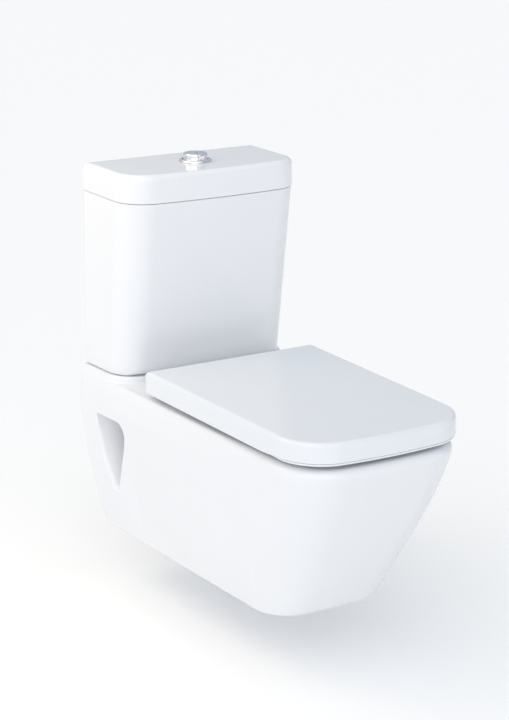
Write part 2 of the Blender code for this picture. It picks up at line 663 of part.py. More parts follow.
# ---- fill valve ------------------------------------------------------------------------
def make_fill_valve():
    floor = H_TANK + TANK_FLOOR + TOUCH
    here = (FILL_X, FILL_Y, 0)
    body = turned("fill_valve", [(r, up(h)) for r, h in (
        (0.0, 0.588), (0.0160, 0.588), (0.0180, 0.585), (0.0180, 0.560), (0.0100, 0.552), (0.0100, floor + 0.008),
        (0.0175, floor + 0.006), (0.0175, floor + 0.0028), (0.0105, floor + 0.0028), (0.0105, 0.285),
        (0.0065, 0.285), (0.0065, 0.360), (0.0, 0.360))], here, 18, closed=False)
    ears = [box(f"lever_ear_{i}", (LEVER_X - 0.004, y, up(0.575)), (FILL_X - 0.010, y + 0.0025, up(0.598)))
            for i, y in enumerate((FILL_Y - 0.0070, FILL_Y + 0.0045))]
    join(body, *ears)
    cut(body, rod("lever_pin_hole", (LEVER_X, FILL_Y - 0.02, up(0.593)), (LEVER_X, FILL_Y + 0.02, up(0.593)),
                  0.0019, 10))
    finish_turned(body, "grey_plastic")
    finish_turned(washer("fill_valve_washer", here, 0.0170, 0.0108, up(floor), up(floor + 0.0025), 16), "rubber")
    nut = hex_nut("fill_valve_nut", (FILL_X, FILL_Y, up(0.309)), (FILL_X, FILL_Y, up(H_TANK - TOUCH)),
                  0.0170, 0.0110)
    finish_object(nut, "white_plastic")
    cup = turned("fill_float", [(r, up(h)) for r, h in (
        (0.0300, 0.540), (0.0310, 0.470), (0.0290, 0.470), (0.0280, 0.537), (0.0125, 0.537), (0.0125, 0.470),
        (0.0105, 0.470), (0.0105, 0.540))], here, 20)
    join(cup, box("float_tab", (LINK_X - 0.005, FILL_Y - 0.005, up(0.5375)),
                  (FILL_X - 0.020, FILL_Y + 0.005, up(0.5400))))
    finish_turned(cup, "blue_plastic")
    link = rod("float_link", (LINK_X, FILL_Y, up(0.5403)), (LINK_X, FILL_Y, up(0.5895)), 0.0015, 8, PARTS)
    finish_object(link, "grey_plastic")
    lever = box("float_lever", (LINK_X - 0.004, FILL_Y - 0.0035, up(0.5903)),
                (FILL_X + 0.006, FILL_Y + 0.0035, up(0.5957)), PARTS)
    join(lever, rod("lever_pin", (LEVER_X, FILL_Y - 0.0085, up(0.593)), (LEVER_X, FILL_Y + 0.0085, up(0.593)),
                    0.0015, 10))
    set_origin(lever, (LEVER_X, FILL_Y, up(0.593)))
    finish_object(lever, "grey_plastic")


# ---- fixings ---------------------------------------------------------------------------
def make_coupling_kit(label, side):
    """Bolt that clamps the cistern to the pan, its rubber and steel washers and wing nut."""
    x, y = side * COUPLING_X, COUPLING_Y
    floor = H_TANK + TANK_FLOOR + TOUCH
    ceiling = POCKET_TOP - TOUCH
    bolt = turned(f"coupling_bolt_{label}", [(r, up(h)) for r, h in (
        (0.0, 0.3420), (0.0070, 0.3420), (0.0075, 0.3410), (0.0075, 0.3375), (0.0040, 0.3375),
        (0.0040, ceiling - 0.0207), (0.0, ceiling - 0.0207))], (x, y, 0), 12, closed=False)
    finish_turned(bolt, "brass")
    cone = turned(f"bolt_seal_{label}", [(r, up(h)) for r, h in (
        (0.0090, 0.3372), (0.0110, floor), (0.0043, floor), (0.0043, 0.3372))], (x, y, 0), 14)
    finish_turned(cone, "rubber")
    finish_turned(washer(f"bolt_washer_{label}", (x, y), 0.0110, 0.0043, up(ceiling - 0.0027), up(ceiling), 14),
                  "steel")
    nut = washer(f"wing_nut_{label}", (x, y), 0.0075, 0.0043, up(ceiling - 0.0127), up(ceiling - 0.0030), 12)
    for i, turn in enumerate((0.0, math.pi)):
        wing = box(f"wing_{label}_{i}", (0.0060, -0.0012, up(ceiling - 0.0187)),
                   (0.0165, 0.0012, up(ceiling - 0.0047)))
        wing.data.transform(Matrix.Rotation(turn + math.pi / 2, 4, "Z"))
        wing.location = (x, y, 0)
        join(nut, wing)
    finish_turned(nut, "brass")


def ring_along_y(name, x, z, outer, inner, y_front, y_back, count, mat_name):
    """A ring about an axis along Y, between two distances from the wall."""
    ring = turned(name, [(outer, y_back), (outer, y_front), (inner, y_front), (inner, y_back)], (x, 0, z), count)
    ring.rotation_euler = (-math.pi / 2, 0, 0)
    return finish_turned(ring, mat_name)


def make_wall_fixing(label, side):
    """Wall stud, sleeve, washer and nut that hold the pan to the wall frame."""
    x = side * STUD_X
    stud = rod(f"wall_stud_{label}", (x, -0.0010, 0), (x, -0.0580, 0), 0.0058, 12, PARTS)
    finish_object(stud, "steel")
    ring_along_y(f"stud_sleeve_{label}", x, 0, 0.0106, 0.0061, -0.0325, -0.0010, 14, "white_plastic")
    ring_along_y(f"stud_washer_{label}", x, 0, 0.0160, 0.0061, -0.0358, -POCKET_BACK - TOUCH, 16, "white_plastic")
    nut = hex_nut(f"stud_nut_{label}", (x, -0.0361, 0), (x, -0.0465, 0), 0.0110, 0.0062)
    finish_object(nut, "steel")


# ---- seat ------------------------------------------------------------------------------
def seat_outline(inset, rear=SEAT_REAR, steps=7):
    return d_outline(SEAT_HALF[0] - inset, SEAT_HALF[1] - inset, -rear, SEAT_FRONT - inset, SEAT_BOW,
                     SEAT_CORNER - inset, steps=steps)


def make_ring():
    """The seat ring: a lip that shows under the lid and a body that sits inside the lid."""
    rear = -HINGE_Y + 0.002
    lip = 0.0006
    body = LID_WALL + 0.0016
    plans = [(H_SEAT, lip + 0.0035), (H_SEAT + 0.0012, lip + 0.0008), (H_SEAT + 0.0035, lip),
             (H_SEAM - 0.0006, lip), (H_SEAM + 0.0002, body), (H_RING_TOP - 0.004, body),
             (H_RING_TOP - 0.001, body + 0.002), (H_RING_TOP, body + 0.006)]
    ring = loft("seat_ring", [(up(h), seat_outline(inset, rear)) for h, inset in plans])
    hole_plans = [(H_SEAT - 0.01, 0.106, 0.146), (H_SEAT + 0.006, 0.105, 0.145), (H_RING_TOP - 0.008, 0.106, 0.146),
                  (H_RING_TOP - 0.002, 0.110, 0.150), (H_RING_TOP + 0.002, 0.116, 0.156)]
    cut(ring, loft("ring_hole", [(up(h), oval(hx, hy, -0.468, 2.4)) for h, hx, hy in hole_plans], CUTTERS))
    axis_z = up(H_HINGE)
    for side in (-1, 1):
        inner, outer = 0.0480, 0.0660
        low, high = sorted((side * inner, side * outer))
        notch_low, notch_high = sorted((side * 0.0665, side * 0.1100))
        cut(ring, box(f"ring_notch_{side}", (notch_low, -0.2375, up(0.30)), (notch_high, -0.200, up(0.36))))
        join(ring, box(f"ring_web_{side}", (low, -0.2500, up(0.3280)), (high, HINGE_Y - 0.001, up(0.3440))),
             rod(f"ring_barrel_{side}", (low, HINGE_Y, axis_z), (high, HINGE_Y, axis_z), 0.0070, 14))
        cut(ring, rod(f"ring_bore_{side}", (low - 0.002, HINGE_Y, axis_z), (high + 0.002, HINGE_Y, axis_z),
                      PIN_R + TOUCH, 10))
    set_origin(ring, (0, HINGE_Y, axis_z))
    return finish_object(ring, "seat_white")


def make_lid():
    """The seat lid: a shallow shell whose skirt comes down over the ring."""
    lower = 0.0008
    plans = [(H_SEAM, lower), (H_SEAM + lower, 0.0), (H_LID_TOP - LID_EDGE, 0.0)]
    for i in range(1, 5):
        turn = math.pi / 2 * i / 4
        plans.append((H_LID_TOP - LID_EDGE * (1 - math.sin(turn)), LID_EDGE * (1 - math.cos(turn))))
    lid = loft("seat_lid", [(up(h), seat_outline(inset, SEAT_REAR + (inset if h > H_SEAM + 0.01 else 0.0)))
                            for h, inset in plans])
    inner_rear = SEAT_REAR + LID_WALL
    cut(lid, loft("lid_inside", [(up(h), seat_outline(LID_WALL, inner_rear))
                                 for h in (H_SEAM - 0.010, H_LID_TOP - 0.0055)], CUTTERS))
    axis_z = up(H_HINGE)
    inside = SEAT_HALF[0] - LID_WALL - 0.0005
    cut(lid, box("rear_gap", (-inside, -SEAT_REAR - 0.012, up(0.310)), (inside, -SEAT_REAR + 0.01, axis_z + 0.0008)))
    round_r = 0.0080
    corner = box("corner_block", (-0.2, -SEAT_REAR - round_r, up(H_SEAM - 0.001)),
                 (0.2, -SEAT_REAR + 0.002, up(H_SEAM + round_r)))
    boolean(corner, rod("corner_round", (-0.21, -SEAT_REAR - round_r, up(H_SEAM + round_r)),
                        (0.21, -SEAT_REAR - round_r, up(H_SEAM + round_r)), round_r, 24), "DIFFERENCE")
    cut(lid, corner)
    for side in (-1, 1):
        low, high = sorted((side * 0.0890, side * 0.1070))
        notch_low, notch_high = sorted((side * 0.0470, side * 0.0885))
        cut(lid, box(f"lid_notch_{side}", (notch_low, -SEAT_REAR - 0.010, up(0.330)),
                     (notch_high, -SEAT_REAR + 0.005, up(0.3500))))
        join(lid, box(f"lid_web_{side}", (low, HINGE_Y - 0.0070, axis_z), (high, HINGE_Y + 0.0065, up(0.3520))),
             rod(f"lid_barrel_{side}", (low, HINGE_Y, axis_z), (high, HINGE_Y, axis_z), 0.0070, 14))
        cut(lid, rod(f"lid_bore_{side}", (low - 0.002, HINGE_Y, axis_z), (high + 0.002, HINGE_Y, axis_z),
                     PIN_R + TOUCH, 10))
    set_origin(lid, (0, HINGE_Y, axis_z))
    return finish_object(lid, "seat_white")


def make_hinge(label, side):
    """Chrome hinge post with its pin, and the bolt and rubber plug that hold it in the pan."""
    x = side * POST_X
    axis_z = up(H_HINGE)
    post = turned(f"hinge_post_{label}", [(r, up(h)) for r, h in (
        (0.0, 0.3400), (0.0070, 0.3400), (0.0080, 0.3150), (0.0140, 0.3120), (0.0145, H_RIM + 0.0010),
        (0.0145, H_RIM + TOUCH), (0.0, H_RIM + TOUCH))], (x, HINGE_Y, 0), 16, closed=False)
    join(post, rod(f"post_head_{label}", (x - 0.0098, HINGE_Y, axis_z), (x + 0.0098, HINGE_Y, axis_z), 0.0074, 16))
    cut(post, rod(f"post_bore_{label}", (x - 0.02, HINGE_Y, axis_z), (x + 0.02, HINGE_Y, axis_z), PIN_R + TOUCH, 10),
        rod(f"post_socket_{label}", (x, HINGE_Y, up(0.300)), (x, HINGE_Y, up(0.3300)), 0.0043, 12))
    finish_turned(post, "chrome")
    low, high = sorted((side * 0.0475, side * 0.1075))
    pin = rod(f"hinge_pin_{label}", (low, HINGE_Y, axis_z), (high, HINGE_Y, axis_z), PIN_R, 10, PARTS)
    finish_object(pin, "steel")
    bolt = rod(f"hinge_bolt_{label}", (x, HINGE_Y, up(0.2610)), (x, HINGE_Y, up(0.3290)), 0.0040, 12, PARTS)
    finish_object(bolt, "steel")
    plug = turned(f"hinge_plug_{label}", [(r, up(h)) for r, h in (
        (0.0068, 0.3070), (0.0068, 0.2660), (0.0062, 0.2620), (0.0043, 0.2620), (0.0043, 0.3070))],
        (x, HINGE_Y, 0), 12)
    finish_turned(plug, "rubber")


def make_pad(name, x, y, half_length, radius, low, high, turn=0.0):
    """A small cushion pad with round ends, wider at its foot."""
    outline = []
    for end in (1, -1):
        for i in range(7):
            angle = math.pi / 2 * (1 - end) + math.pi * (i / 6 - 0.5)
            outline.append(Vector((math.cos(angle) * radius + end * half_length, math.sin(angle) * radius)))
    spin = Matrix.Rotation(turn, 2)

    def plan(scale):
        return [Vector((x, y)) + spin @ (p * scale) for p in outline]
    pad = loft(name, [(low, plan(0.86)), (low + 0.0015, plan(1.0)), (high, plan(1.0))])
    return finish_object(pad, "pad")


def make_pads():
    """Four pads under the ring and four under the lid."""
    for label, x, y, turn in (("rear_left", -0.146, -0.290, 90), ("rear_right", 0.146, -0.290, 90),
                              ("front_left", -0.128, -0.640, 62), ("front_right", 0.128, -0.640, -62)):
        turn = math.radians(turn)
        make_pad(f"seat_pad_{label}", x, y, 0.010, 0.006, up(H_RIM + TOUCH), up(H_SEAT - TOUCH), turn)
        make_pad(f"lid_pad_{label}", x * 0.93, y, 0.006, 0.005, up(H_RING_TOP + TOUCH),
                 up(H_LID_TOP - 0.0055 - TOUCH), turn)


def main():
    make_pan()
    make_tank()
    make_cover()
    make_buttons()
    make_flush_valve()
    make_fill_valve()
    make_ring()
    make_lid()
    make_pads()
    for label, side in (("left", -1), ("right", 1)):
        make_coupling_kit(label, side)
        make_wall_fixing(label, side)
        make_hinge(label, side)


main()
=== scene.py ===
"""Looks for the wall-hung close coupled toilet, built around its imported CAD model.

Units are metres. Heights named H_... are above the pan's underside; up() turns them into
world z. The wall is y = 0 and the toilet's front faces -y. Profiles and plans are lists of
points, and an inset moves a plan's outline inwards.
"""
import json
import math

import bmesh
import bpy
from mathutils import Matrix, Vector


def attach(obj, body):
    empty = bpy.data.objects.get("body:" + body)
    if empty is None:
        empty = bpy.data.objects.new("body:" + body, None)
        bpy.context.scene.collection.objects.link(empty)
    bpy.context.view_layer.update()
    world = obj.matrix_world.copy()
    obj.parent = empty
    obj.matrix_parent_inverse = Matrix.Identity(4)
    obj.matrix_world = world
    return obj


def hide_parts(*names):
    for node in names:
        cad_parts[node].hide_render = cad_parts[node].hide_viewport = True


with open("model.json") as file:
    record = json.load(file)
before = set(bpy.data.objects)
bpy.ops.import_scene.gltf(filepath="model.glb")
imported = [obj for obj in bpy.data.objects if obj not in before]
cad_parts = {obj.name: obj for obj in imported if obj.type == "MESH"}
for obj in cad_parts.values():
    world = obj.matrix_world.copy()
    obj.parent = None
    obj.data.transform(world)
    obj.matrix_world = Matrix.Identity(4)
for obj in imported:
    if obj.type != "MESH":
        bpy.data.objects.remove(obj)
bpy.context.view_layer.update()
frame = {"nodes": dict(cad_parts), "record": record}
NODES = frame["nodes"]

# ---- sizes: the CAD's, some refined; the side pocket has a softer shape of its own -------
H_STUD = 0.210
STUD_X = 0.090
STUD_BORE_R = 0.011
NUT_SEAT_R = 0.0185        # flat on the pocket's back wall, under the stud's washer
H_RIM = 0.308              # rim and seat deck
H_PLINTH = 0.3194          # top of the raised plinth under the cistern
PLINTH_EDGE = 0.003
PLINTH_FOOT = 0.0045       # hollow curve between the plinth and the deck
H_BULGE = 0.252            # height where the back of the pan is widest
PAN_HALF = 0.1896
PAN_REAR_DROP = 0.0512     # narrowing of the back from there down to the underside
PAN_TOP_DROP = 0.0062      # and up to the plinth's top
RIM_FRONT = 0.7164
RIM_FRONT_HALF = 0.1612
RIM_CORNER = 0.092
RIM_BOW = 0.010
RIM_SHOULDER = 0.0166
BASE_FRONT = 0.5507
BASE_FRONT_HALF = 0.115
BASE_CORNER = 0.064
BASE_BOW = 0.009
BASE_EDGE = 0.0055
CREASE_Y = 0.140           # where the rear flange flares out of the body
CREASE_DEPTH = 0.009
OUTLET_DROP = 0.100
SPIGOT_R = 0.051
GROOVE_R = 0.071
GROOVE_DEPTH = 0.036
OUTLET_R = 0.043
BOWL_LIP = 0.007
BOWL_PLANS = (             # height, half-width, half-depth and centre y, from the rim down
    (H_RIM - 0.014, 0.119, 0.188, -0.476), (H_RIM - 0.020, 0.123, 0.192, -0.476),
    (0.262, 0.123, 0.190, -0.472), (0.215, 0.108, 0.170, -0.455),
    (0.165, 0.086, 0.132, -0.424), (0.120, 0.066, 0.090, -0.388),
    (0.075, 0.050, 0.060, -0.358), (0.035, 0.038, 0.042, -0.340),
    (0.020, 0.028, 0.030, -0.336), (0.014, 0.016, 0.017, -0.336))
TRAP_PATH = (              # y, height and radius, from the sump to the outlet
    (-0.345, 0.044, 0.026), (-0.285, 0.044, 0.026), (-0.245, 0.062, 0.026),
    (-0.222, 0.100, 0.026), (-0.198, 0.132, 0.026), (-0.160, 0.139, 0.027),
    (-0.120, 0.126, 0.032), (-0.080, 0.112, 0.040), (-0.050, 0.110, OUTLET_R),
    (0.020, 0.110, OUTLET_R))
POCKET_TOP = 0.2395
POCKET_INNER_X = 0.067
POCKET_BACK = 0.033        # the pocket's back wall, where the wall nut sits
POCKET_MIDDLE = (-0.085, 0.185)
POCKET_EDGE = (0.003, 0.010)   # rounding where it meets the skin: along its top and lower down
POCKET_CORNERS = (         # y, height and corner radius of its outline on the skin
    (-0.0720, 0.0910, 0.004), (-0.0665, 0.1180, 0.040), (-0.0570, 0.1620, 0.080),
    (-0.0520, POCKET_TOP, 0.005), (-0.1500, POCKET_TOP, 0.0175))
POCKET_WALLS = (           # depth under the skin, and the outline's scale there
    (0.0125, 0.97), (0.020, 0.92), (0.035, 0.85), (0.050, 0.80), (0.075, 0.76), (0.112, 0.70))
H_TANK = 0.3200
H_TANK_TOP = 0.6365
TANK_TOP_HALF = 0.1740
TANK_TOP_DEPTH = 0.1822
TANK_TOP_BOW = 0.0108
TANK_BASE_HALF = (0.1783, 0.1712)
TANK_BASE_DEPTH = 0.1348
TANK_BASE_BOW = 0.0052
TANK_CORNER = (0.0575, 0.056)
TANK_WALL = 0.009
TANK_FLOOR = 0.010
TANK_EDGE = 0.014          # lower edge along the front; the sides have less
H_COVER = 0.6375
H_COVER_TOP = 0.6866
COVER_OVERHANG = 0.0012
COVER_EDGE = 0.011
BUTTON_Y = -0.095
BUTTON_R = 0.0225
BUTTON_TOP = 0.0156
BUTTON_TURN = math.radians(16.0)
FLANGE_R = 0.0292
SLEEVE_R = 0.0245
ROD_X = 0.014
ROD_Y = -0.100
VALVE_Y = -0.060           # the flush valve, on the centre line
INLET_PATH = (             # y, height and radius of the flush water's way to the bowl
    (VALVE_Y, 0.310, 0.024), (VALVE_Y, 0.272, 0.024), (VALVE_Y - 0.012, 0.250, 0.023),
    (VALVE_Y - 0.045, 0.236, 0.022), (-0.200, 0.234, 0.021), (-0.320, 0.234, 0.020))
FILL_X = 0.120
FILL_Y = -0.066
COUPLING_X = 0.085
COUPLING_Y = -0.088
SEAT_REAR = 0.213
SEAT_FRONT = 0.7147
SEAT_HALF = (0.171, 0.163)
SEAT_CORNER = 0.082
SEAT_BOW = 0.0158
H_SEAT = 0.317
H_SEAM = 0.3220
H_RING_TOP = 0.338
RING_EDGE = 0.006
HOLE_EDGE = (0.005, 0.010)     # rounding of the ring's opening: underneath and on top
H_LID_TOP = 0.3555
LID_WALL = 0.004
LID_EDGE = 0.007
LID_CORNER_R = 0.0085      # rear lower corners, seen from the side
SKIRT_DROP = 0.0044        # how much lower the skirt comes along the sides than in front
HINGE_Y = -0.222
H_HINGE = 0.341
BARREL_R = 0.0070
POST_X = 0.0775
PIN_R = 0.003
TOUCH = 0.0003             # clearance between pieces that touch in real life

# ---- fineness --------------------------------------------------------------------------
SIDE_STEPS = 22
CORNER_STEPS = 22
FRONT_STEPS = 16
ROUND_STEPS = 64
KINK_REACH = 0.0015        # how closely the crease's faces hug it
SHARP = math.radians(34.0)
CAD_SHARP = math.radians(30.0)


def up(height):
    return height - H_STUD


# ---- mesh tools ------------------------------------------------------------------------
def link(obj):
    bpy.context.scene.collection.objects.link(obj)
    return obj


def from_bmesh(name, bm):
    mesh = bpy.data.meshes.new(name)
    bmesh.ops.recalc_face_normals(bm, faces=bm.faces)
    bm.to_mesh(mesh)
    bm.free()
    return link(bpy.data.objects.new(name, mesh))


def apply_all(obj):
    """Turn the object's modifiers into its mesh."""
    bpy.context.view_layer.update()
    evaluated = obj.evaluated_get(bpy.context.evaluated_depsgraph_get())
    mesh = bpy.data.meshes.new_from_object(evaluated)
    old = obj.data
    obj.modifiers.clear()
    obj.data = mesh
    bpy.data.meshes.remove(old)
    return obj


def boolean(obj, other, operation):
    step = obj.modifiers.new(other.name, "BOOLEAN")
    step.operation = operation
    step.object = other
    step.solver = "EXACT"
    apply_all(obj)
    bpy.data.objects.remove(other, do_unlink=True)
    return obj


def cut(obj, *others):
    for other in others:
        boolean(obj, other, "DIFFERENCE")
    return obj


def join(obj, *others):
    for other in others:
        boolean(obj, other, "UNION")
    return obj


def smooth(obj, angle=SHARP):
    obj.data.shade_smooth()
    obj.data.set_sharp_from_angle(angle=angle)
    return obj


def between(a, b, steps):
    """Points after a, up to and with b."""
    return [a.lerp(b, i / steps) for i in range(1, steps + 1)]


def d_outline(half_rear, half_front, y_rear, depth, bow, corner, kink=None, rear_round=0.003):
    """A D-shaped plan: straight back, tapering sides, round front corners, bowed front.

    kink is (distance from the wall, depth) of a crease in each side.
    """
    front_r = (half_front ** 2 + bow ** 2) / (2 * bow)
    front_c = Vector((0.0, -depth + front_r))
    start = Vector((half_rear, y_rear))
    end = Vector((half_front, -depth + bow))
    along = (end - start).normalized()
    inward = Vector((along.y, -along.x))
    if inward.x > 0:
        inward = -inward
    offset = start + inward * corner - front_c
    reach = offset.dot(along)
    run = -reach + math.sqrt(max(reach ** 2 - offset.length_squared + (front_r - corner) ** 2, 0.0))
    centre = start + inward * corner + along * run
    first = math.atan2(-inward.y, -inward.x)
    to_front = (centre - front_c).normalized()
    last = math.atan2(to_front.y, to_front.x)
    tangent = centre - inward * corner
    middle = start.lerp(tangent, 0.3)
    if kink:
        share = (kink[0] + y_rear) / (y_rear - centre.y)
        middle = start.lerp(tangent, share) + inward * kink[1]
    side = (middle - start).normalized()
    half = []
    arc_c = Vector((start.x - rear_round, start.y - rear_round))
    arc_end = math.atan2(side.x, -side.y)
    for i in range(5):
        turn = math.pi / 2 + (arc_end - math.pi / 2) * i / 4
        half.append(arc_c + Vector((math.cos(turn), math.sin(turn))) * rear_round)
    onward = (tangent - middle).normalized()
    half += between(half[-1], middle - side * KINK_REACH, SIDE_STEPS)
    half += [middle, middle + onward * KINK_REACH]
    half += between(half[-1], tangent, SIDE_STEPS * 2)
    for i in range(1, CORNER_STEPS + 1):
        turn = first + (last - first) * i / CORNER_STEPS
        half.append(centre + Vector((math.cos(turn), math.sin(turn))) * corner)
    for i in range(1, FRONT_STEPS + 1):
        turn = last + (-math.pi / 2 - last) * i / FRONT_STEPS
        half.append(front_c + Vector((math.cos(turn), math.sin(turn))) * front_r)
    return half + [Vector((-p.x, p.y)) for p in reversed(half[:-1])]


def ramp(value, low, high):
    """0 up to low, 1 from high on, smooth between."""
    share = min(max((value - low) / (high - low), 0.0), 1.0)
    return share * share * (3 - 2 * share)


def blend(outer, inner, share):
    """A plan between two others; share(point) is 0 for the first and 1 for the second."""
    return [a.lerp(b, share(a)) for a, b in zip(outer, inner)]


def oval(half_x, half_y, y_centre, power=2.3, count=96):
    """A superellipse: 2 is an ellipse, and a higher power is squarer."""
    points = []
    for i in range(count):
        turn = 2 * math.pi * i / count
        c, s = math.cos(turn), math.sin(turn)
        points.append(Vector((half_x * math.copysign(abs(c) ** (2 / power), c),
                              y_centre + half_y * math.copysign(abs(s) ** (2 / power), s))))
    return points


def loft(name, sections, lift=None):
    """A closed solid through plans of equal point count: sections are (world z, outline).

    lift(point, z) raises single points off their section's plane.
    """
    bm = bmesh.new()
    rings = [[bm.verts.new((p.x, p.y, z + (lift(p, z) if lift else 0.0))) for p in outline]
             for z, outline in sections]
    for low, high in zip(rings[:-1], rings[1:]):
        for i in range(len(low)):
            j = (i + 1) % len(low)
            bm.faces.new((low[i], low[j], high[j], high[i]))
    bm.faces.new(reversed(rings[0]))
    bm.faces.new(rings[-1])
    return from_bmesh(name, bm)


def swept(name, stations, count=48):
    """A round bar in the plane x = 0 along (y, z, radius) stations."""
    bm = bmesh.new()
    rings = []
    for i, (y, z, radius) in enumerate(stations):
        before, after = stations[max(i - 1, 0)], stations[min(i + 1, len(stations) - 1)]
        along = Vector((0, after[0] - before[0], after[1] - before[1])).normalized()
        across = Vector((1, 0, 0))
        other = along.cross(across)
        centre = Vector((0, y, z))
        turns = [2 * math.pi * k / count for k in range(count)]
        rings.append([bm.verts.new(centre + (across * math.cos(t) + other * math.sin(t)) * radius)
                      for t in turns])
    for low, high in zip(rings[:-1], rings[1:]):
        for k in range(count):
            m = (k + 1) % count
            bm.faces.new((low[k], low[m], high[m], high[k]))
    bm.faces.new(reversed(rings[0]))
    bm.faces.new(rings[-1])
    return from_bmesh(name, bm)


def eased_stations(stations, steps=5):
    """The stations with smooth in-between ones (Catmull-Rom)."""
    out = []
    last = len(stations) - 1
    for i in range(last):
        a, b, c, d = (Vector(stations[min(max(k, 0), last)]) for k in (i - 1, i, i + 1, i + 2))
        for k in range(steps):
            t = k / steps
            p = (2 * b + (c - a) * t + (2 * a - 5 * b + 4 * c - d) * t * t
                 + (3 * b - a - 3 * c + d) * t ** 3) / 2
            out.append(tuple(p))
    out.append(tuple(stations[-1]))
    return out


def box(name, low, high):
    bm = bmesh.new()
    bmesh.ops.create_cube(bm, size=1.0)
    size = Vector(high) - Vector(low)
    middle = (Vector(high) + Vector(low)) / 2
    place = Matrix.Translation(middle) @ Matrix.Diagonal((*size, 1.0))
    bmesh.ops.transform(bm, matrix=place, verts=bm.verts)
    return from_bmesh(name, bm)


def rod(name, start, end, radius, count=ROUND_STEPS):
    start, end = Vector(start), Vector(end)
    along = end - start
    bm = bmesh.new()
    bmesh.ops.create_cone(bm, cap_ends=True, segments=count, radius1=radius, radius2=radius,
                          depth=along.length)
    turn = Vector((0, 0, 1)).rotation_difference(along.normalized()).to_matrix().to_4x4()
    bmesh.ops.transform(bm, matrix=Matrix.Translation((start + end) / 2) @ turn, verts=bm.verts)
    return from_bmesh(name, bm)


def turned(name, profile, centre, count=ROUND_STEPS, closed=True, along_y=False):
    """A turned piece: profile points (radius, height along the axis) run round the section."""
    bm = bmesh.new()
    turns = [2 * math.pi * k / count for k in range(count)]
    rings = []
    for r, h in profile:
        if r < 1e-6:
            rings.append([bm.verts.new((0, 0, h))] * count)
        else:
            rings.append([bm.verts.new((r * math.cos(t), r * math.sin(t), h)) for t in turns])
    pairs = list(zip(rings[:-1], rings[1:]))
    if closed:
        pairs.append((rings[-1], rings[0]))
    for low, high in pairs:
        for k in range(count):
            m = (k + 1) % count
            corners = []
            for v in (low[k], low[m], high[m], high[k]):
                if v not in corners:
                    corners.append(v)
            if len(corners) > 2:
                bm.faces.new(corners)
    if along_y:
        bmesh.ops.transform(bm, matrix=Matrix.Rotation(-math.pi / 2, 4, "X"), verts=bm.verts)
    bmesh.ops.transform(bm, matrix=Matrix.Translation(centre), verts=bm.verts)
    return from_bmesh(name, bm)


def rounded(points, radius, steps=4, closed=True):
    """A profile with each corner turned into an arc of about that radius."""
    count = len(points)
    out = []
    for i, here in enumerate(points):
        if not closed and i in (0, count - 1):
            out.append(tuple(here))
            continue
        here = Vector(here)
        before, after = Vector(points[i - 1]), Vector(points[(i + 1) % count])
        to_before, to_after = before - here, after - here
        reach = min(radius, 0.45 * to_before.length, 0.45 * to_after.length)
        a, b = here + to_before.normalized() * reach, here + to_after.normalized() * reach
        for k in range(steps + 1):
            t = k / steps
            p = a * (1 - t) ** 2 + here * 2 * t * (1 - t) + b * t ** 2
            out.append(tuple(p))
    return out


def edge_plans(low, high, edge_low, edge_high, inset=0.0, steps=8, middle=1):
    """(height, inset) pairs for a solid with rounded lower and upper edges and flat caps."""
    plans = []
    support = 0.002
    if edge_low:
        plans.append((low, inset + edge_low + support))
        for i in range(steps + 1):
            turn = math.pi / 2 * i / steps
            plans.append((low + edge_low * (1 - math.cos(turn)),
                          inset + edge_low * (1 - math.sin(turn))))
    else:
        plans.append((low, inset))
    bottom, top = low + edge_low, high - edge_high
    for i in range(1, middle):
        plans.append((bottom + (top - bottom) * i / middle, inset))
    if edge_high:
        for i in range(steps + 1):
            turn = math.pi / 2 * i / steps
            plans.append((high - edge_high * (1 - math.sin(turn)),
                          inset + edge_high * (1 - math.cos(turn))))
        plans.append((high, inset + edge_high + support))
    else:
        plans.append((high, inset))
    return plans


# ---- pan -------------------------------------------------------------------------------
def eased(low, high, share, power):
    """From low at share 0 to high at share 1, flattening out towards 1."""
    return high - (high - low) * (1 - share) ** power


def pan_half_width(height):
    if height < H_BULGE:
        return PAN_HALF - PAN_REAR_DROP * ((H_BULGE - height) / H_BULGE) ** 1.62
    return PAN_HALF - PAN_TOP_DROP * ((height - H_BULGE) / (H_PLINTH - H_BULGE)) ** 2.4


def crease_depth(height):
    share = min(max(height / (POCKET_TOP + 0.02), 0.0), 1.0)
    return CREASE_DEPTH * math.sin(math.pi * share) ** 0.8


def pan_outline(height, inset):
    share = height / H_RIM
    corner = eased(BASE_CORNER, RIM_CORNER, share, 4.7) - inset
    return d_outline(pan_half_width(height) - inset,
                     eased(BASE_FRONT_HALF, RIM_FRONT_HALF, share, 2.2) - inset,
                     0.0,
                     eased(BASE_FRONT, RIM_FRONT, share, 1.19) - inset,
                     eased(BASE_BOW, RIM_BOW, share, 1.0),
                     corner, kink=(CREASE_Y, crease_depth(height)))


def skin_x(y, height):
    """Half-width of the pan's skin at that y (between the wall and the crease) and height."""
    outline = pan_outline(height, 0.0)
    for a, b in zip(outline, outline[1:]):
        if a.y >= y >= b.y and a.y - b.y > 1e-9:
            return a.x + (b.x - a.x) * (a.y - y) / (a.y - b.y)
    return outline[4].x


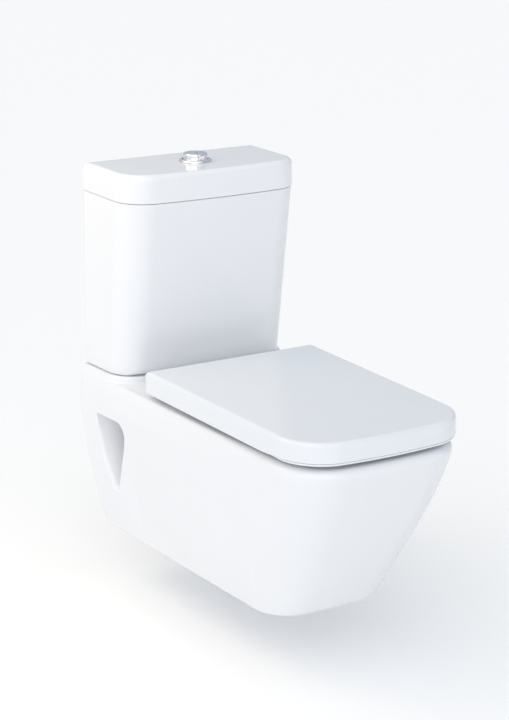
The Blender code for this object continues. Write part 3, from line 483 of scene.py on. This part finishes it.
def make_plinth():
    """The plinth under the cistern, its rear just inside the pan's so that they never coincide."""
    edge, foot = PLINTH_EDGE, PLINTH_FOOT
    plans = [(0.262, 0.0), (0.290, 0.0)]
    for i in range(7):
        turn = math.pi / 2 * i / 6
        plans.append((H_RIM - 0.0006 + foot * (1 - math.cos(turn)), -foot * (1 - math.sin(turn))))
    for i in range(6):
        turn = math.pi / 2 * i / 5
        plans.append((H_PLINTH - edge * (1 - math.sin(turn)), edge * (1 - math.cos(turn))))
    plans.append((H_PLINTH, edge + 0.002))
    sections = []
    for height, inset in plans:
        half = pan_half_width(height) - 0.0002 - max(inset, 0.0)
        flare = min(inset, 0.0)
        outline = d_outline(half, half - 0.006, -0.0003, TANK_BASE_DEPTH + 0.004 - inset,
                            TANK_BASE_BOW, TANK_CORNER[0] + 0.004 - max(inset, 0.0) + flare)
        sections.append((up(height), outline))
    return loft("plinth", sections)


def make_bowl_cutter():
    half_x, half_y, y_centre = 0.117, 0.186, -0.476
    plans = [(H_RIM + 0.010, half_x + BOWL_LIP, half_y + BOWL_LIP, y_centre)]
    for i in range(7):
        turn = math.radians(8 + 82 * i / 6)
        grow = BOWL_LIP * (1 - math.sin(turn))
        plans.append((H_RIM - BOWL_LIP * (1 - math.cos(turn)), half_x + grow, half_y + grow,
                      y_centre))
    plans += eased_stations(BOWL_PLANS, 4)
    return loft("bowl_cutter", [(up(h), oval(hx, hy, yc)) for h, hx, hy, yc in plans])


def rounded_polygon(corners, steps=12, fill=5):
    """A closed outline through (a, b, radius) corners, each turned into an arc."""
    outline = []
    count = len(corners)
    for i, (a, b, radius) in enumerate(corners):
        here = Vector((a, b))
        before = (Vector(corners[i - 1][:2]) - here).normalized()
        after = (Vector(corners[(i + 1) % count][:2]) - here).normalized()
        half = before.angle(after) / 2
        bow = here + (before + after).normalized() * radius / math.sin(half)
        first = here + before * radius / math.tan(half) - bow
        last = here + after * radius / math.tan(half) - bow
        turn = first.angle_signed(last)
        outline += [bow + Matrix.Rotation(-turn * k / steps, 2) @ first for k in range(steps + 1)]
        following = corners[(i + 1) % count]
        outline += [(bow + last).lerp(Vector(following[:2]), k / (fill + 2))
                    for k in range(1, fill)]
    return outline


def make_pocket_cutter(side):
    """The side pocket: a rounded triangle whose edge rolls over into the skin."""
    outline = rounded_polygon(POCKET_CORNERS)
    middle = Vector(POCKET_MIDDLE)
    rings = [(-0.012, 0.0, 1.22, 1.0)]     # depth, share of the edge sunk, its spread, and scale
    for k in range(7):
        turn = math.radians(12 + 78 * k / 6)
        rings.append((0.0, 1 - math.cos(turn), 1 - math.sin(turn), 1.0))
    rings += [(deep, 0.0, 0.0, scale) for deep, scale in POCKET_WALLS]
    bm = bmesh.new()
    loops = []
    for base_deep, sink, spread, scale in rings:
        loop = []
        count = len(outline)
        for i, p in enumerate(outline):
            along = (outline[(i + 1) % count] - outline[i - 1]).normalized()
            normal = Vector((along.y, -along.x))
            if normal.dot(p - middle) < 0:
                normal = -normal
            soft = ramp(0.232 - p.y, 0.0, 0.045) * (1 - max(normal.y, 0.0))
            edge = POCKET_EDGE[0] + (POCKET_EDGE[1] - POCKET_EDGE[0]) * soft
            deep = base_deep + edge * sink
            q = middle + (p - middle) * scale + normal * edge * spread
            fall = ramp(deep, 0.050, 0.085) * ramp(q.y, 0.165, 0.195)
            rearward = ramp(q.x, -0.100, -0.060)
            x = skin_x(min(q.x, -0.004), q.y) - deep
            y = min(q.x + 0.016 * fall * rearward, -POCKET_BACK)
            loop.append(bm.verts.new((side * max(x, POCKET_INNER_X + 0.002), y, up(q.y))))
        loops.append(loop)
    for a, b in zip(loops[:-1], loops[1:]):
        for i in range(len(a)):
            j = (i + 1) % len(a)
            bm.faces.new((a[i], a[j], b[j], b[i]))
    bm.faces.new(reversed(loops[0]))
    bm.faces.new(loops[-1])
    return from_bmesh(f"pocket_cutter_{side}", bm)


def make_pan():
    plans = edge_plans(0.0, H_RIM, BASE_EDGE, RIM_SHOULDER, steps=10, middle=44)
    shoulder = H_RIM - RIM_SHOULDER

    def share(p):
        """How much of the shoulder's full radius the rim has: half along the sides."""
        return 0.5 + 0.5 * ramp(-p.y, 0.34, 0.64)

    def lift(p, z):
        return (up(H_RIM) - z) * (1 - share(p)) if z > up(shoulder) + 1e-6 else 0.0

    sections = []
    for h, inset in plans:
        outline = pan_outline(h, inset)
        if h > shoulder:
            outline = blend(pan_outline(h, 0.0), outline, share)
        sections.append((up(h), outline))
    pan = loft("pan_body", sections, lift)
    join(pan, make_plinth())
    cut(pan, make_bowl_cutter(),
        swept("trap_cutter", [(y, up(h), r) for y, h, r in eased_stations(TRAP_PATH, 3)]),
        swept("inlet_cutter", [(y, up(h), r) for y, h, r in eased_stations(INLET_PATH, 3)]))
    groove = [(GROOVE_R, 0.020), (GROOVE_R, -GROOVE_DEPTH),
              (SPIGOT_R, -GROOVE_DEPTH), (SPIGOT_R, 0.020)]
    cut(pan, turned("groove", groove, (0, 0, -OUTLET_DROP), along_y=True),
        rod("spigot_recess", (0, -0.003, -OUTLET_DROP), (0, 0.020, -OUTLET_DROP), 0.0545),
        rod("inlet_well", (0, VALVE_Y, up(0.297)), (0, VALVE_Y, up(0.340)), 0.0525),
        box("supply_hollow", (FILL_X - 0.022, -0.092, up(0.243)),
            (FILL_X + 0.022, 0.010, up(0.330))))
    for side in (-1, 1):
        stud_x, bolt_x, post_x = side * STUD_X, side * COUPLING_X, side * POST_X
        cut(pan, make_pocket_cutter(side),
            rod("stud_bore", (stud_x, 0.010, 0), (stud_x, -0.100, 0), STUD_BORE_R, 32),
            rod("nut_seat", (stud_x, -POCKET_BACK, 0), (stud_x, -0.075, 0), NUT_SEAT_R, 32),
            rod("bolt_bore", (bolt_x, COUPLING_Y, up(0.215)), (bolt_x, COUPLING_Y, up(0.330)),
                0.006, 24),
            rod("hinge_bore", (post_x, HINGE_Y, up(0.258)), (post_x, HINGE_Y, up(0.320)),
                0.0072, 24))
    return smooth(pan)


# ---- cistern ---------------------------------------------------------------------------
def tank_outline(height, inset):
    share = (height - H_TANK) / (H_TANK_TOP - H_TANK)

    def mix(low, high):
        return low + (high - low) * share

    rear, front = TANK_BASE_HALF
    return d_outline(mix(rear, TANK_TOP_HALF) - inset, mix(front, TANK_TOP_HALF) - inset,
                     -max(inset, 0.0), mix(TANK_BASE_DEPTH, TANK_TOP_DEPTH) - inset,
                     mix(TANK_BASE_BOW, TANK_TOP_BOW), mix(*TANK_CORNER) - inset)


def make_tank():
    plans = edge_plans(H_TANK, H_TANK_TOP, TANK_EDGE, 0.0015, middle=24)

    def share(p):
        """How much of its full radius the lower edge has: less than a third along the sides."""
        return 0.30 + 0.70 * ramp(-p.y, 0.115, 0.134)

    def lift(p, z):
        return (up(H_TANK) - z) * (1 - share(p)) if z < up(H_TANK + TANK_EDGE) - 1e-6 else 0.0

    sections = []
    for h, inset in plans:
        outline = tank_outline(h, inset)
        if h < H_TANK + TANK_EDGE:
            outline = blend(tank_outline(h, 0.0), outline, share)
        sections.append((up(h), outline))
    tank = loft("cistern_body", sections, lift)
    cavity = edge_plans(H_TANK + TANK_FLOOR, H_TANK_TOP + 0.02, 0.006, 0.0, TANK_WALL, middle=4)
    cut(tank, loft("cavity", [(up(h), tank_outline(h, i)) for h, i in cavity]))
    low, high = up(H_TANK - 0.01), up(H_TANK + 0.03)
    cut(tank, rod("flush_hole", (0, VALVE_Y, low), (0, VALVE_Y, high), 0.032),
        rod("fill_hole", (FILL_X, FILL_Y, low), (FILL_X, FILL_Y, high), 0.0112, 32))
    for bolt_x in (-COUPLING_X, COUPLING_X):
        cut(tank, rod("bolt_hole", (bolt_x, COUPLING_Y, low), (bolt_x, COUPLING_Y, high),
                      0.0055, 24))
    return smooth(tank)


def cover_outline(inset):
    outline = tank_outline(H_TANK_TOP, inset - COVER_OVERHANG)
    rear = -max(inset, 0.0)
    return [Vector((p.x, min(p.y, rear))) for p in outline]


def crowned(name, plans, outline_at, rise, centre):
    """A loft whose top cap rises a little towards its middle."""
    sections = [(up(h), outline_at(inset)) for h, inset in plans]
    top, rim = sections[-1]
    steps = 14
    for i in range(1, steps):
        share = 1 - i / steps
        sections.append((top + rise * (1 - share ** 2),
                         [centre + (p - centre) * share for p in rim]))
    return loft(name, sections)


def make_cover():
    plans = edge_plans(H_COVER, H_COVER_TOP, 0.0012, COVER_EDGE, steps=12, middle=5)
    cover = crowned("cistern_cover", plans, cover_outline, 0.0002, Vector((0.0, -0.095)))
    join(cover, loft("lid_lip", [(up(h), cover_outline(0.0140))
                                 for h in (H_COVER - 0.009, H_COVER + 0.012)]))
    cavity = edge_plans(H_COVER - 0.030, H_COVER_TOP - 0.010, 0.0, 0.006, 0.0185)
    cut(cover, loft("lid_cavity", [(up(h), cover_outline(i)) for h, i in cavity]),
        rod("button_hole", (0, BUTTON_Y, up(0.66)), (0, BUTTON_Y, up(0.70)), SLEEVE_R + 0.0004))
    return smooth(cover)


# ---- flush button ----------------------------------------------------------------------
def make_collar():
    top = H_COVER_TOP + TOUCH
    well = BUTTON_R + 0.0006
    flange = [(well + 0.0012, top + 0.0052), (FLANGE_R - 0.0028, top + 0.0044),
              (FLANGE_R - 0.0008, top + 0.0030), (FLANGE_R, top + 0.0014), (FLANGE_R, top)]
    sleeve = [(SLEEVE_R, top), (SLEEVE_R, 0.650), (0.0195, 0.650), (0.0195, 0.6665)]
    inside = [(0.0060, 0.6665), (0.0060, 0.6690), (well, 0.6690), (well, top + 0.0046)]
    profile = rounded(flange + sleeve + inside, 0.0005, 3)
    collar = turned("flush_collar", [(r, up(h)) for r, h in profile], (0, BUTTON_Y, 0), 96)
    for side in (-1, 1):
        cut(collar, rod("rod_guide", (side * ROD_X, ROD_Y, up(0.660)),
                        (side * ROD_X, ROD_Y, up(0.672)), 0.0036, 24))
    return smooth(collar)


def make_half_button(name, side):
    top = H_COVER_TOP + BUTTON_TOP
    edge_r = 0.0034
    start_r, start_h = BUTTON_R - 0.0042, top - 0.0001
    profile = [(0.0, top + 0.0006), (0.010, top + 0.0004), (start_r, start_h)]
    for i in range(1, 9):
        turn = math.pi / 2 * i / 8
        profile.append((start_r + edge_r * math.sin(turn), start_h - edge_r * (1 - math.cos(turn))))
    profile += [(BUTTON_R - 0.0004, 0.6880), (BUTTON_R, 0.6860), (BUTTON_R, 0.6770),
                (0.0, 0.6770)]
    half = turned(name, [(r, up(h)) for r, h in profile], (0, BUTTON_Y, 0), 96, closed=False)
    keep = box("keep", (0.0004, -0.030, up(0.66)), (0.030, 0.030, up(0.72)))
    spin = Matrix.Rotation(-BUTTON_TURN + (math.pi if side < 0 else 0.0), 4, "Z")
    keep.data.transform(Matrix.Translation((0, BUTTON_Y, 0)) @ spin)
    boolean(half, keep, "INTERSECT")
    bevel = half.modifiers.new("edge", "BEVEL")
    bevel.width = 0.0005
    bevel.segments = 3
    bevel.limit_method = "ANGLE"
    bevel.angle_limit = math.radians(50)
    apply_all(half)
    return smooth(half)


# ---- seat ------------------------------------------------------------------------------
def seat_outline(inset, rear=SEAT_REAR):
    return d_outline(SEAT_HALF[0] - inset, SEAT_HALF[1] - inset, -rear, SEAT_FRONT - inset,
                     SEAT_BOW, SEAT_CORNER - inset)


def along_side(p):
    """1 along the seat's sides, 0 round its front."""
    return 1 - ramp(-p.y, 0.575, 0.655)


def make_ring():
    rear = -HINGE_Y + 0.002
    lip = 0.0006                           # inset of the lower edge that shows under the lid
    body = LID_WALL + 0.0016               # inset of what is hidden inside the lid
    plans = [(H_SEAT, lip + 0.0060), (H_SEAT, lip + 0.0035), (H_SEAT + 0.0004, lip + 0.0018),
             (H_SEAT + 0.0012, lip + 0.0008), (H_SEAT + 0.0022, lip + 0.0002),
             (H_SEAT + 0.0035, lip),
             (H_SEAM - 0.0009, lip), (H_SEAM - 0.0006, lip + 0.0003),
             (H_SEAM - 0.0006, body - 0.0004), (H_SEAM - 0.0002, body),
             (H_RING_TOP - RING_EDGE, body)]
    for i in range(1, 8):
        turn = math.pi / 2 * i / 7
        plans.append((H_RING_TOP - RING_EDGE * (1 - math.sin(turn)),
                      body + RING_EDGE * (1 - math.cos(turn))))
    plans.append((H_RING_TOP, body + 0.009))
    ring = loft("seat_ring_body", [
        (up(h), blend(seat_outline(inset, rear), seat_outline(max(inset, body), rear),
                      along_side))
        for h, inset in plans])
    hole = [(H_SEAT - 0.01, 0.112, 0.152)]
    under, over = HOLE_EDGE
    for i in range(6):
        turn = math.radians(10 + 80 * i / 5)
        grow = under * (1 - math.sin(turn))
        hole.append((H_SEAT + under * (1 - math.cos(turn)), 0.105 + grow, 0.145 + grow))
    for i in range(9):
        turn = math.radians(80 * i / 8)
        grow = over * (1 - math.cos(turn))
        hole.append((H_RING_TOP - over + over * math.sin(turn), 0.106 + grow, 0.146 + grow))
    hole.append((H_RING_TOP + 0.004, 0.118, 0.158))
    cut(ring, loft("ring_hole", [(up(h), oval(hx, hy, -0.468, 2.4)) for h, hx, hy in hole]))
    axis_z = up(H_HINGE)
    for side in (-1, 1):
        low, high = sorted((side * 0.0480, side * 0.0660))
        notch_low, notch_high = sorted((side * 0.0665, side * 0.1100))
        cut(ring, box("notch", (notch_low, -0.2375, up(0.30)), (notch_high, -0.200, up(0.36))))
        join(ring, box("web", (low, -0.2500, up(0.3280)), (high, HINGE_Y - 0.001, up(0.3440))),
             rod("barrel", (low, HINGE_Y, axis_z), (high, HINGE_Y, axis_z), BARREL_R, 32))
        cut(ring, rod("bore", (low - 0.002, HINGE_Y, axis_z), (high + 0.002, HINGE_Y, axis_z),
                      PIN_R + TOUCH, 20))
    return smooth(ring)


def make_lid():
    lower = 0.0009
    plans = [(H_SEAM, lower + 0.0015)]
    for i in range(5):
        turn = math.pi / 2 * i / 4
        plans.append((H_SEAM + lower * (1 - math.cos(turn)), lower * (1 - math.sin(turn))))
    for i in range(1, 5):
        plans.append((H_SEAM + lower + (H_LID_TOP - LID_EDGE - H_SEAM - lower) * i / 4, 0.0))
    for i in range(1, 11):
        turn = math.pi / 2 * i / 10
        plans.append((H_LID_TOP - LID_EDGE * (1 - math.sin(turn)),
                      LID_EDGE * (1 - math.cos(turn))))
    plans.append((H_LID_TOP, LID_EDGE + 0.002))

    def at(height, inset):
        return seat_outline(inset, SEAT_REAR + (inset if height > H_SEAM + 0.01 else 0.0))

    sections = [(up(h), at(h, inset)) for h, inset in plans]
    top, rim = sections[-1]
    centre = Vector((0.0, -0.455))
    for i in range(1, 14):
        share = 1 - i / 14
        sections.append((top + 0.0009 * (1 - share ** 2),
                         [centre + (p - centre) * share for p in rim]))
    skirt_top = up(H_LID_TOP - LID_EDGE)

    def drop(p, z):
        share = min(max((skirt_top - z) / (skirt_top - up(H_SEAM)), 0.0), 1.0)
        return -SKIRT_DROP * along_side(p) * share

    lid = loft("seat_cover", sections, drop)
    inner_rear = SEAT_REAR + LID_WALL
    inside = edge_plans(H_SEAM - 0.010, H_LID_TOP - 0.0050, 0.0, 0.004, LID_WALL)
    cut(lid, loft("lid_inside", [(up(h), seat_outline(i, inner_rear + i - LID_WALL))
                                 for h, i in inside]))
    axis_z = up(H_HINGE)
    reach = SEAT_HALF[0] - LID_WALL - 0.0005
    cut(lid, box("rear_gap", (-reach, -SEAT_REAR - 0.012, up(0.310)),
                 (reach, -SEAT_REAR + 0.01, axis_z + 0.0008)))
    low_rim = H_SEAM - SKIRT_DROP
    round_y, round_z = -SEAT_REAR - LID_CORNER_R, up(low_rim + LID_CORNER_R)
    corner = box("corner_block", (-0.2, round_y, up(low_rim - 0.001)),
                 (0.2, -SEAT_REAR + 0.002, round_z))
    cut(corner, rod("corner_round", (-0.21, round_y, round_z), (0.21, round_y, round_z),
                    LID_CORNER_R, 96))
    cut(lid, corner)
    for side in (-1, 1):
        low, high = sorted((side * 0.0890, side * 0.1070))
        notch_low, notch_high = sorted((side * 0.0470, side * 0.0885))
        cut(lid, box("lid_notch", (notch_low, -SEAT_REAR - 0.010, up(0.330)),
                     (notch_high, -SEAT_REAR + 0.005, up(0.3500))))
        join(lid, box("lid_web", (low, HINGE_Y - 0.0070, axis_z),
                      (high, HINGE_Y + 0.0065, up(0.3520))),
             rod("lid_barrel", (low, HINGE_Y, axis_z), (high, HINGE_Y, axis_z), BARREL_R, 32))
        cut(lid, rod("lid_bore", (low - 0.002, HINGE_Y, axis_z), (high + 0.002, HINGE_Y, axis_z),
                     PIN_R + TOUCH, 20))
    return smooth(lid)


def make_post(label, side):
    x = side * POST_X
    axis_z = up(H_HINGE)
    foot_r = 0.0145
    side_line = [(0.0070, 0.3380), (0.0080, 0.3150), (0.0140, 0.3120), (foot_r, H_RIM + 0.0010)]
    profile = [(0.0, 0.3400), (0.0070, 0.3400)] + rounded(side_line, 0.002, 5, closed=False)
    profile += [(foot_r, H_RIM + TOUCH), (0.0, H_RIM + TOUCH)]
    post = turned(f"chrome_post_{label}", [(r, up(h)) for r, h in profile], (x, HINGE_Y, 0), 48,
                  closed=False)
    join(post, rod("head", (x - 0.0098, HINGE_Y, axis_z), (x + 0.0098, HINGE_Y, axis_z),
                   0.0074, 48))
    cut(post, rod("post_bore", (x - 0.02, HINGE_Y, axis_z), (x + 0.02, HINGE_Y, axis_z),
                  PIN_R + TOUCH, 20),
        rod("socket", (x, HINGE_Y, up(0.300)), (x, HINGE_Y, up(0.3300)), 0.0043, 20))
    return smooth(post)


# ---- materials -------------------------------------------------------------------------
def node_material(name, colour, roughness, metallic=0.0, shade=0.02, rough_spread=0.04,
                  bump=None, grain_scale=30.0, **extra):
    """A Principled finish whose colour, roughness and surface vary a little over the object.

    bump is (scale, distance) of a fine surface texture; extra sets the shader's plain sockets.
    """
    mat = bpy.data.materials.new(name)
    mat.use_nodes = True
    nodes, links = mat.node_tree.nodes, mat.node_tree.links
    shader = nodes["Principled BSDF"]
    shader.inputs["Metallic"].default_value = metallic
    for socket, value in extra.items():
        shader.inputs[socket.replace("_", " ")].default_value = value
    place = nodes.new("ShaderNodeTexCoord")
    cloud = nodes.new("ShaderNodeTexNoise")
    cloud.inputs["Scale"].default_value = grain_scale
    cloud.inputs["Detail"].default_value = 3.0
    links.new(place.outputs["Object"], cloud.inputs["Vector"])
    tones = nodes.new("ShaderNodeValToRGB")
    darker, lighter = tones.color_ramp.elements
    darker.position, lighter.position = 0.3, 0.7
    darker.color = (*(c * (1 - shade) for c in colour), 1.0)
    lighter.color = (*(min(c * (1 + shade), 1.0) for c in colour), 1.0)
    links.new(cloud.outputs["Fac"], tones.inputs["Fac"])
    links.new(tones.outputs["Color"], shader.inputs["Base Color"])
    rough = nodes.new("ShaderNodeMapRange")
    rough.inputs["To Min"].default_value = max(roughness - rough_spread, 0.0)
    rough.inputs["To Max"].default_value = roughness + rough_spread
    links.new(cloud.outputs["Fac"], rough.inputs["Value"])
    links.new(rough.outputs["Result"], shader.inputs["Roughness"])
    if bump:
        grain = nodes.new("ShaderNodeTexNoise")
        grain.inputs["Scale"].default_value = bump[0]
        grain.inputs["Detail"].default_value = 2.0
        links.new(place.outputs["Object"], grain.inputs["Vector"])
        relief = nodes.new("ShaderNodeBump")
        relief.inputs["Strength"].default_value = 1.0
        relief.inputs["Distance"].default_value = bump[1]
        links.new(grain.outputs["Fac"], relief.inputs["Height"])
        links.new(relief.outputs["Normal"], shader.inputs["Normal"])
    return mat


FINISHES = {
    "glaze": dict(colour=(0.80, 0.815, 0.845), roughness=0.075, rough_spread=0.02, shade=0.006,
                  grain_scale=6.0, bump=(16.0, 0.00022), IOR=1.52),
    # the seat's own white, set darker than the glaze as painted shade for its top, which sits in
    # the cistern's shade
    "seat_white": dict(colour=(0.765, 0.79, 0.83), roughness=0.16, rough_spread=0.02,
                       shade=0.005, grain_scale=8.0, bump=(900.0, 0.000004), IOR=1.50),
    "chrome": dict(colour=(0.80, 0.81, 0.83), roughness=0.05, rough_spread=0.02, metallic=1.0,
                   shade=0.01, grain_scale=120.0),
    "steel": dict(colour=(0.55, 0.55, 0.56), roughness=0.32, rough_spread=0.08, metallic=1.0,
                  shade=0.06, grain_scale=180.0, bump=(1500.0, 0.00002)),
    "brass": dict(colour=(0.72, 0.53, 0.24), roughness=0.30, rough_spread=0.10, metallic=1.0,
                  shade=0.08, grain_scale=140.0, bump=(1200.0, 0.00002)),
    "white_plastic": dict(colour=(0.78, 0.79, 0.80), roughness=0.38, shade=0.02,
                          bump=(2200.0, 0.00002)),
    "grey_plastic": dict(colour=(0.36, 0.38, 0.41), roughness=0.42, shade=0.03,
                         bump=(2200.0, 0.00002)),
    "blue_plastic": dict(colour=(0.06, 0.17, 0.45), roughness=0.40, shade=0.04,
                         bump=(2200.0, 0.00002)),
    "rubber": dict(colour=(0.035, 0.035, 0.04), roughness=0.68, shade=0.15, bump=(1400.0, 0.00004)),
    "pad": dict(colour=(0.66, 0.68, 0.71), roughness=0.55, shade=0.02, bump=(1600.0, 0.00003)),
}
MATERIALS = {name: node_material(name, **finish) for name, finish in FINISHES.items()}
SLOT_OF = {s["node"]: s["material_slot"] for s in frame["record"]["subparts"]}


def dress(obj, slot_name):
    obj.data.materials.clear()
    obj.data.materials.append(MATERIALS[slot_name])
    return obj


def stand_for(obj, body, *nodes):
    """A new piece takes the place of CAD nodes, on their body and with their finish."""
    slot_name = SLOT_OF[nodes[0]]
    dress(obj, slot_name)
    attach(obj, body)
    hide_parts(*nodes)
    return obj


# ---- the object ------------------------------------------------------------------------
for node_name, node in NODES.items():
    dress(node, SLOT_OF[node_name])
    smooth(node, CAD_SHARP)

stand_for(make_pan(), "root", "pan")
stand_for(make_tank(), "root", "cistern_tank")
stand_for(make_cover(), "cistern_cover", "cistern_lid")
stand_for(make_collar(), "cistern_cover", "button_collar")
stand_for(make_half_button("full_button", -1), "full_flush", "full_flush_button")
stand_for(make_half_button("half_button", 1), "half_flush", "half_flush_button")
stand_for(make_ring(), "seat", "seat_ring")
stand_for(make_lid(), "lid", "seat_lid")
for post_label, post_side in (("left", -1), ("right", 1)):
    stand_for(make_post(post_label, post_side), "root", f"hinge_post_{post_label}")

# ---- staging, light and camera ---------------------------------------------------------
FLOOR_Z = -0.320           # the toilet hangs on its wall, clear of the floor
FLOOR_HALF = 40.0
AMBIENT = (0.41, 0.47, 0.55)
LOBES = (                  # azimuth from the front, elevation, narrowness and colour of a glow
    (-45.0, 45.0, 3.0, (0.70, 0.70, 0.74)),
    (-30.0, 8.0, 3.0, (1.06, 0.98, 0.84)),
    (-135.0, 45.0, 3.0, (0.42, 0.33, 0.22)),
    (0.0, 90.0, 3.0, (0.15, 0.12, 0.05)),
    (135.0, 45.0, 3.0, (0.10, 0.10, 0.10)),
    (35.0, 25.0, 60.0, (-0.40, -0.45, -0.50)),          # this and the next are dark flags
    (-4.0, 22.0, 120.0, (-1.20, -1.15, -1.10)))
VIEW_TARGET = Vector((0.0, -0.285, 0.1035))
VIEW_AZIMUTH = math.radians(-31.36)
VIEW_ELEVATION = math.radians(17.11)
VIEW_DISTANCE = 3.4776
VIEW_LENS_MM = 99.84
VIEW_SENSOR_MM = 36.0
VIEW_SHIFT = (0.0044, 0.0419)


def make_floor():
    bm = bmesh.new()
    bmesh.ops.create_grid(bm, x_segments=1, y_segments=1, size=FLOOR_HALF)
    bmesh.ops.transform(bm, matrix=Matrix.Translation((0, 0, FLOOR_Z)), verts=bm.verts)
    floor = from_bmesh("studio_floor", bm)
    mat = bpy.data.materials.new("studio_floor")
    mat.use_nodes = True
    shader = mat.node_tree.nodes["Principled BSDF"]
    shader.inputs["Base Color"].default_value = (0.97, 0.97, 0.97, 1.0)
    shader.inputs["Roughness"].default_value = 0.9
    shader.inputs["Emission Color"].default_value = (1.0, 1.0, 1.0, 1.0)
    shader.inputs["Emission Strength"].default_value = 0.04
    floor.data.materials.append(mat)


def area_light(name, place, target, size, power, colour):
    data = bpy.data.lights.new(name, "AREA")
    data.shape = "RECTANGLE"
    data.size, data.size_y = size
    data.energy = power
    data.color = colour
    light = link(bpy.data.objects.new(name, data))
    light.location = place
    light.rotation_euler = (Vector(target) - Vector(place)).to_track_quat("-Z", "Y").to_euler()


def make_world():
    """A studio of soft light: an even glow with broad lobes added to it."""
    world = bpy.data.worlds.new("studio")
    world.use_nodes = True
    nodes, links = world.node_tree.nodes, world.node_tree.links
    place = nodes.new("ShaderNodeTexCoord")
    total = None
    for azimuth, elevation, narrowness, colour in LOBES:
        turn, lift = math.radians(azimuth), math.radians(elevation)
        toward = nodes.new("ShaderNodeVectorMath")
        toward.operation = "DOT_PRODUCT"
        flat = math.cos(lift)
        toward.inputs[1].default_value = (math.sin(turn) * flat, -math.cos(turn) * flat,
                                          math.sin(lift))
        links.new(place.outputs["Generated"], toward.inputs[0])
        facing = nodes.new("ShaderNodeMath")
        facing.operation = "MAXIMUM"
        facing.inputs[1].default_value = 0.0
        links.new(toward.outputs["Value"], facing.inputs[0])
        lobe = nodes.new("ShaderNodeMath")
        lobe.operation = "POWER"
        lobe.inputs[1].default_value = narrowness
        links.new(facing.outputs[0], lobe.inputs[0])
        tint = nodes.new("ShaderNodeVectorMath")
        tint.operation = "SCALE"
        tint.inputs[0].default_value = colour
        links.new(lobe.outputs[0], tint.inputs["Scale"])
        add = nodes.new("ShaderNodeVectorMath")
        add.operation = "ADD"
        add.inputs[0].default_value = AMBIENT
        if total:
            links.new(total.outputs[0], add.inputs[0])
        links.new(tint.outputs[0], add.inputs[1])
        total = add
    links.new(total.outputs[0], nodes["Background"].inputs["Color"])
    bpy.context.scene.world = world


def make_camera():
    data = bpy.data.cameras.new("photo_view")
    data.sensor_width = VIEW_SENSOR_MM
    data.lens = VIEW_LENS_MM
    data.shift_x, data.shift_y = VIEW_SHIFT
    data.clip_end = 200.0
    camera = link(bpy.data.objects.new("photo_view", data))
    flat = math.cos(VIEW_ELEVATION)
    away = Vector((flat * math.sin(VIEW_AZIMUTH), -flat * math.cos(VIEW_AZIMUTH),
                   math.sin(VIEW_ELEVATION)))
    camera.location = VIEW_TARGET + away * VIEW_DISTANCE
    camera.rotation_euler = (-away).to_track_quat("-Z", "Y").to_euler()
    bpy.context.scene.camera = camera


make_floor()
make_world()
area_light("rear_softbox", (-0.75, 0.10, 0.95), (0.0, -0.10, 0.45), (0.7, 0.7), 2.0,
           (1.0, 0.85, 0.60))
bpy.context.scene.view_settings.view_transform = "Standard"
make_camera()
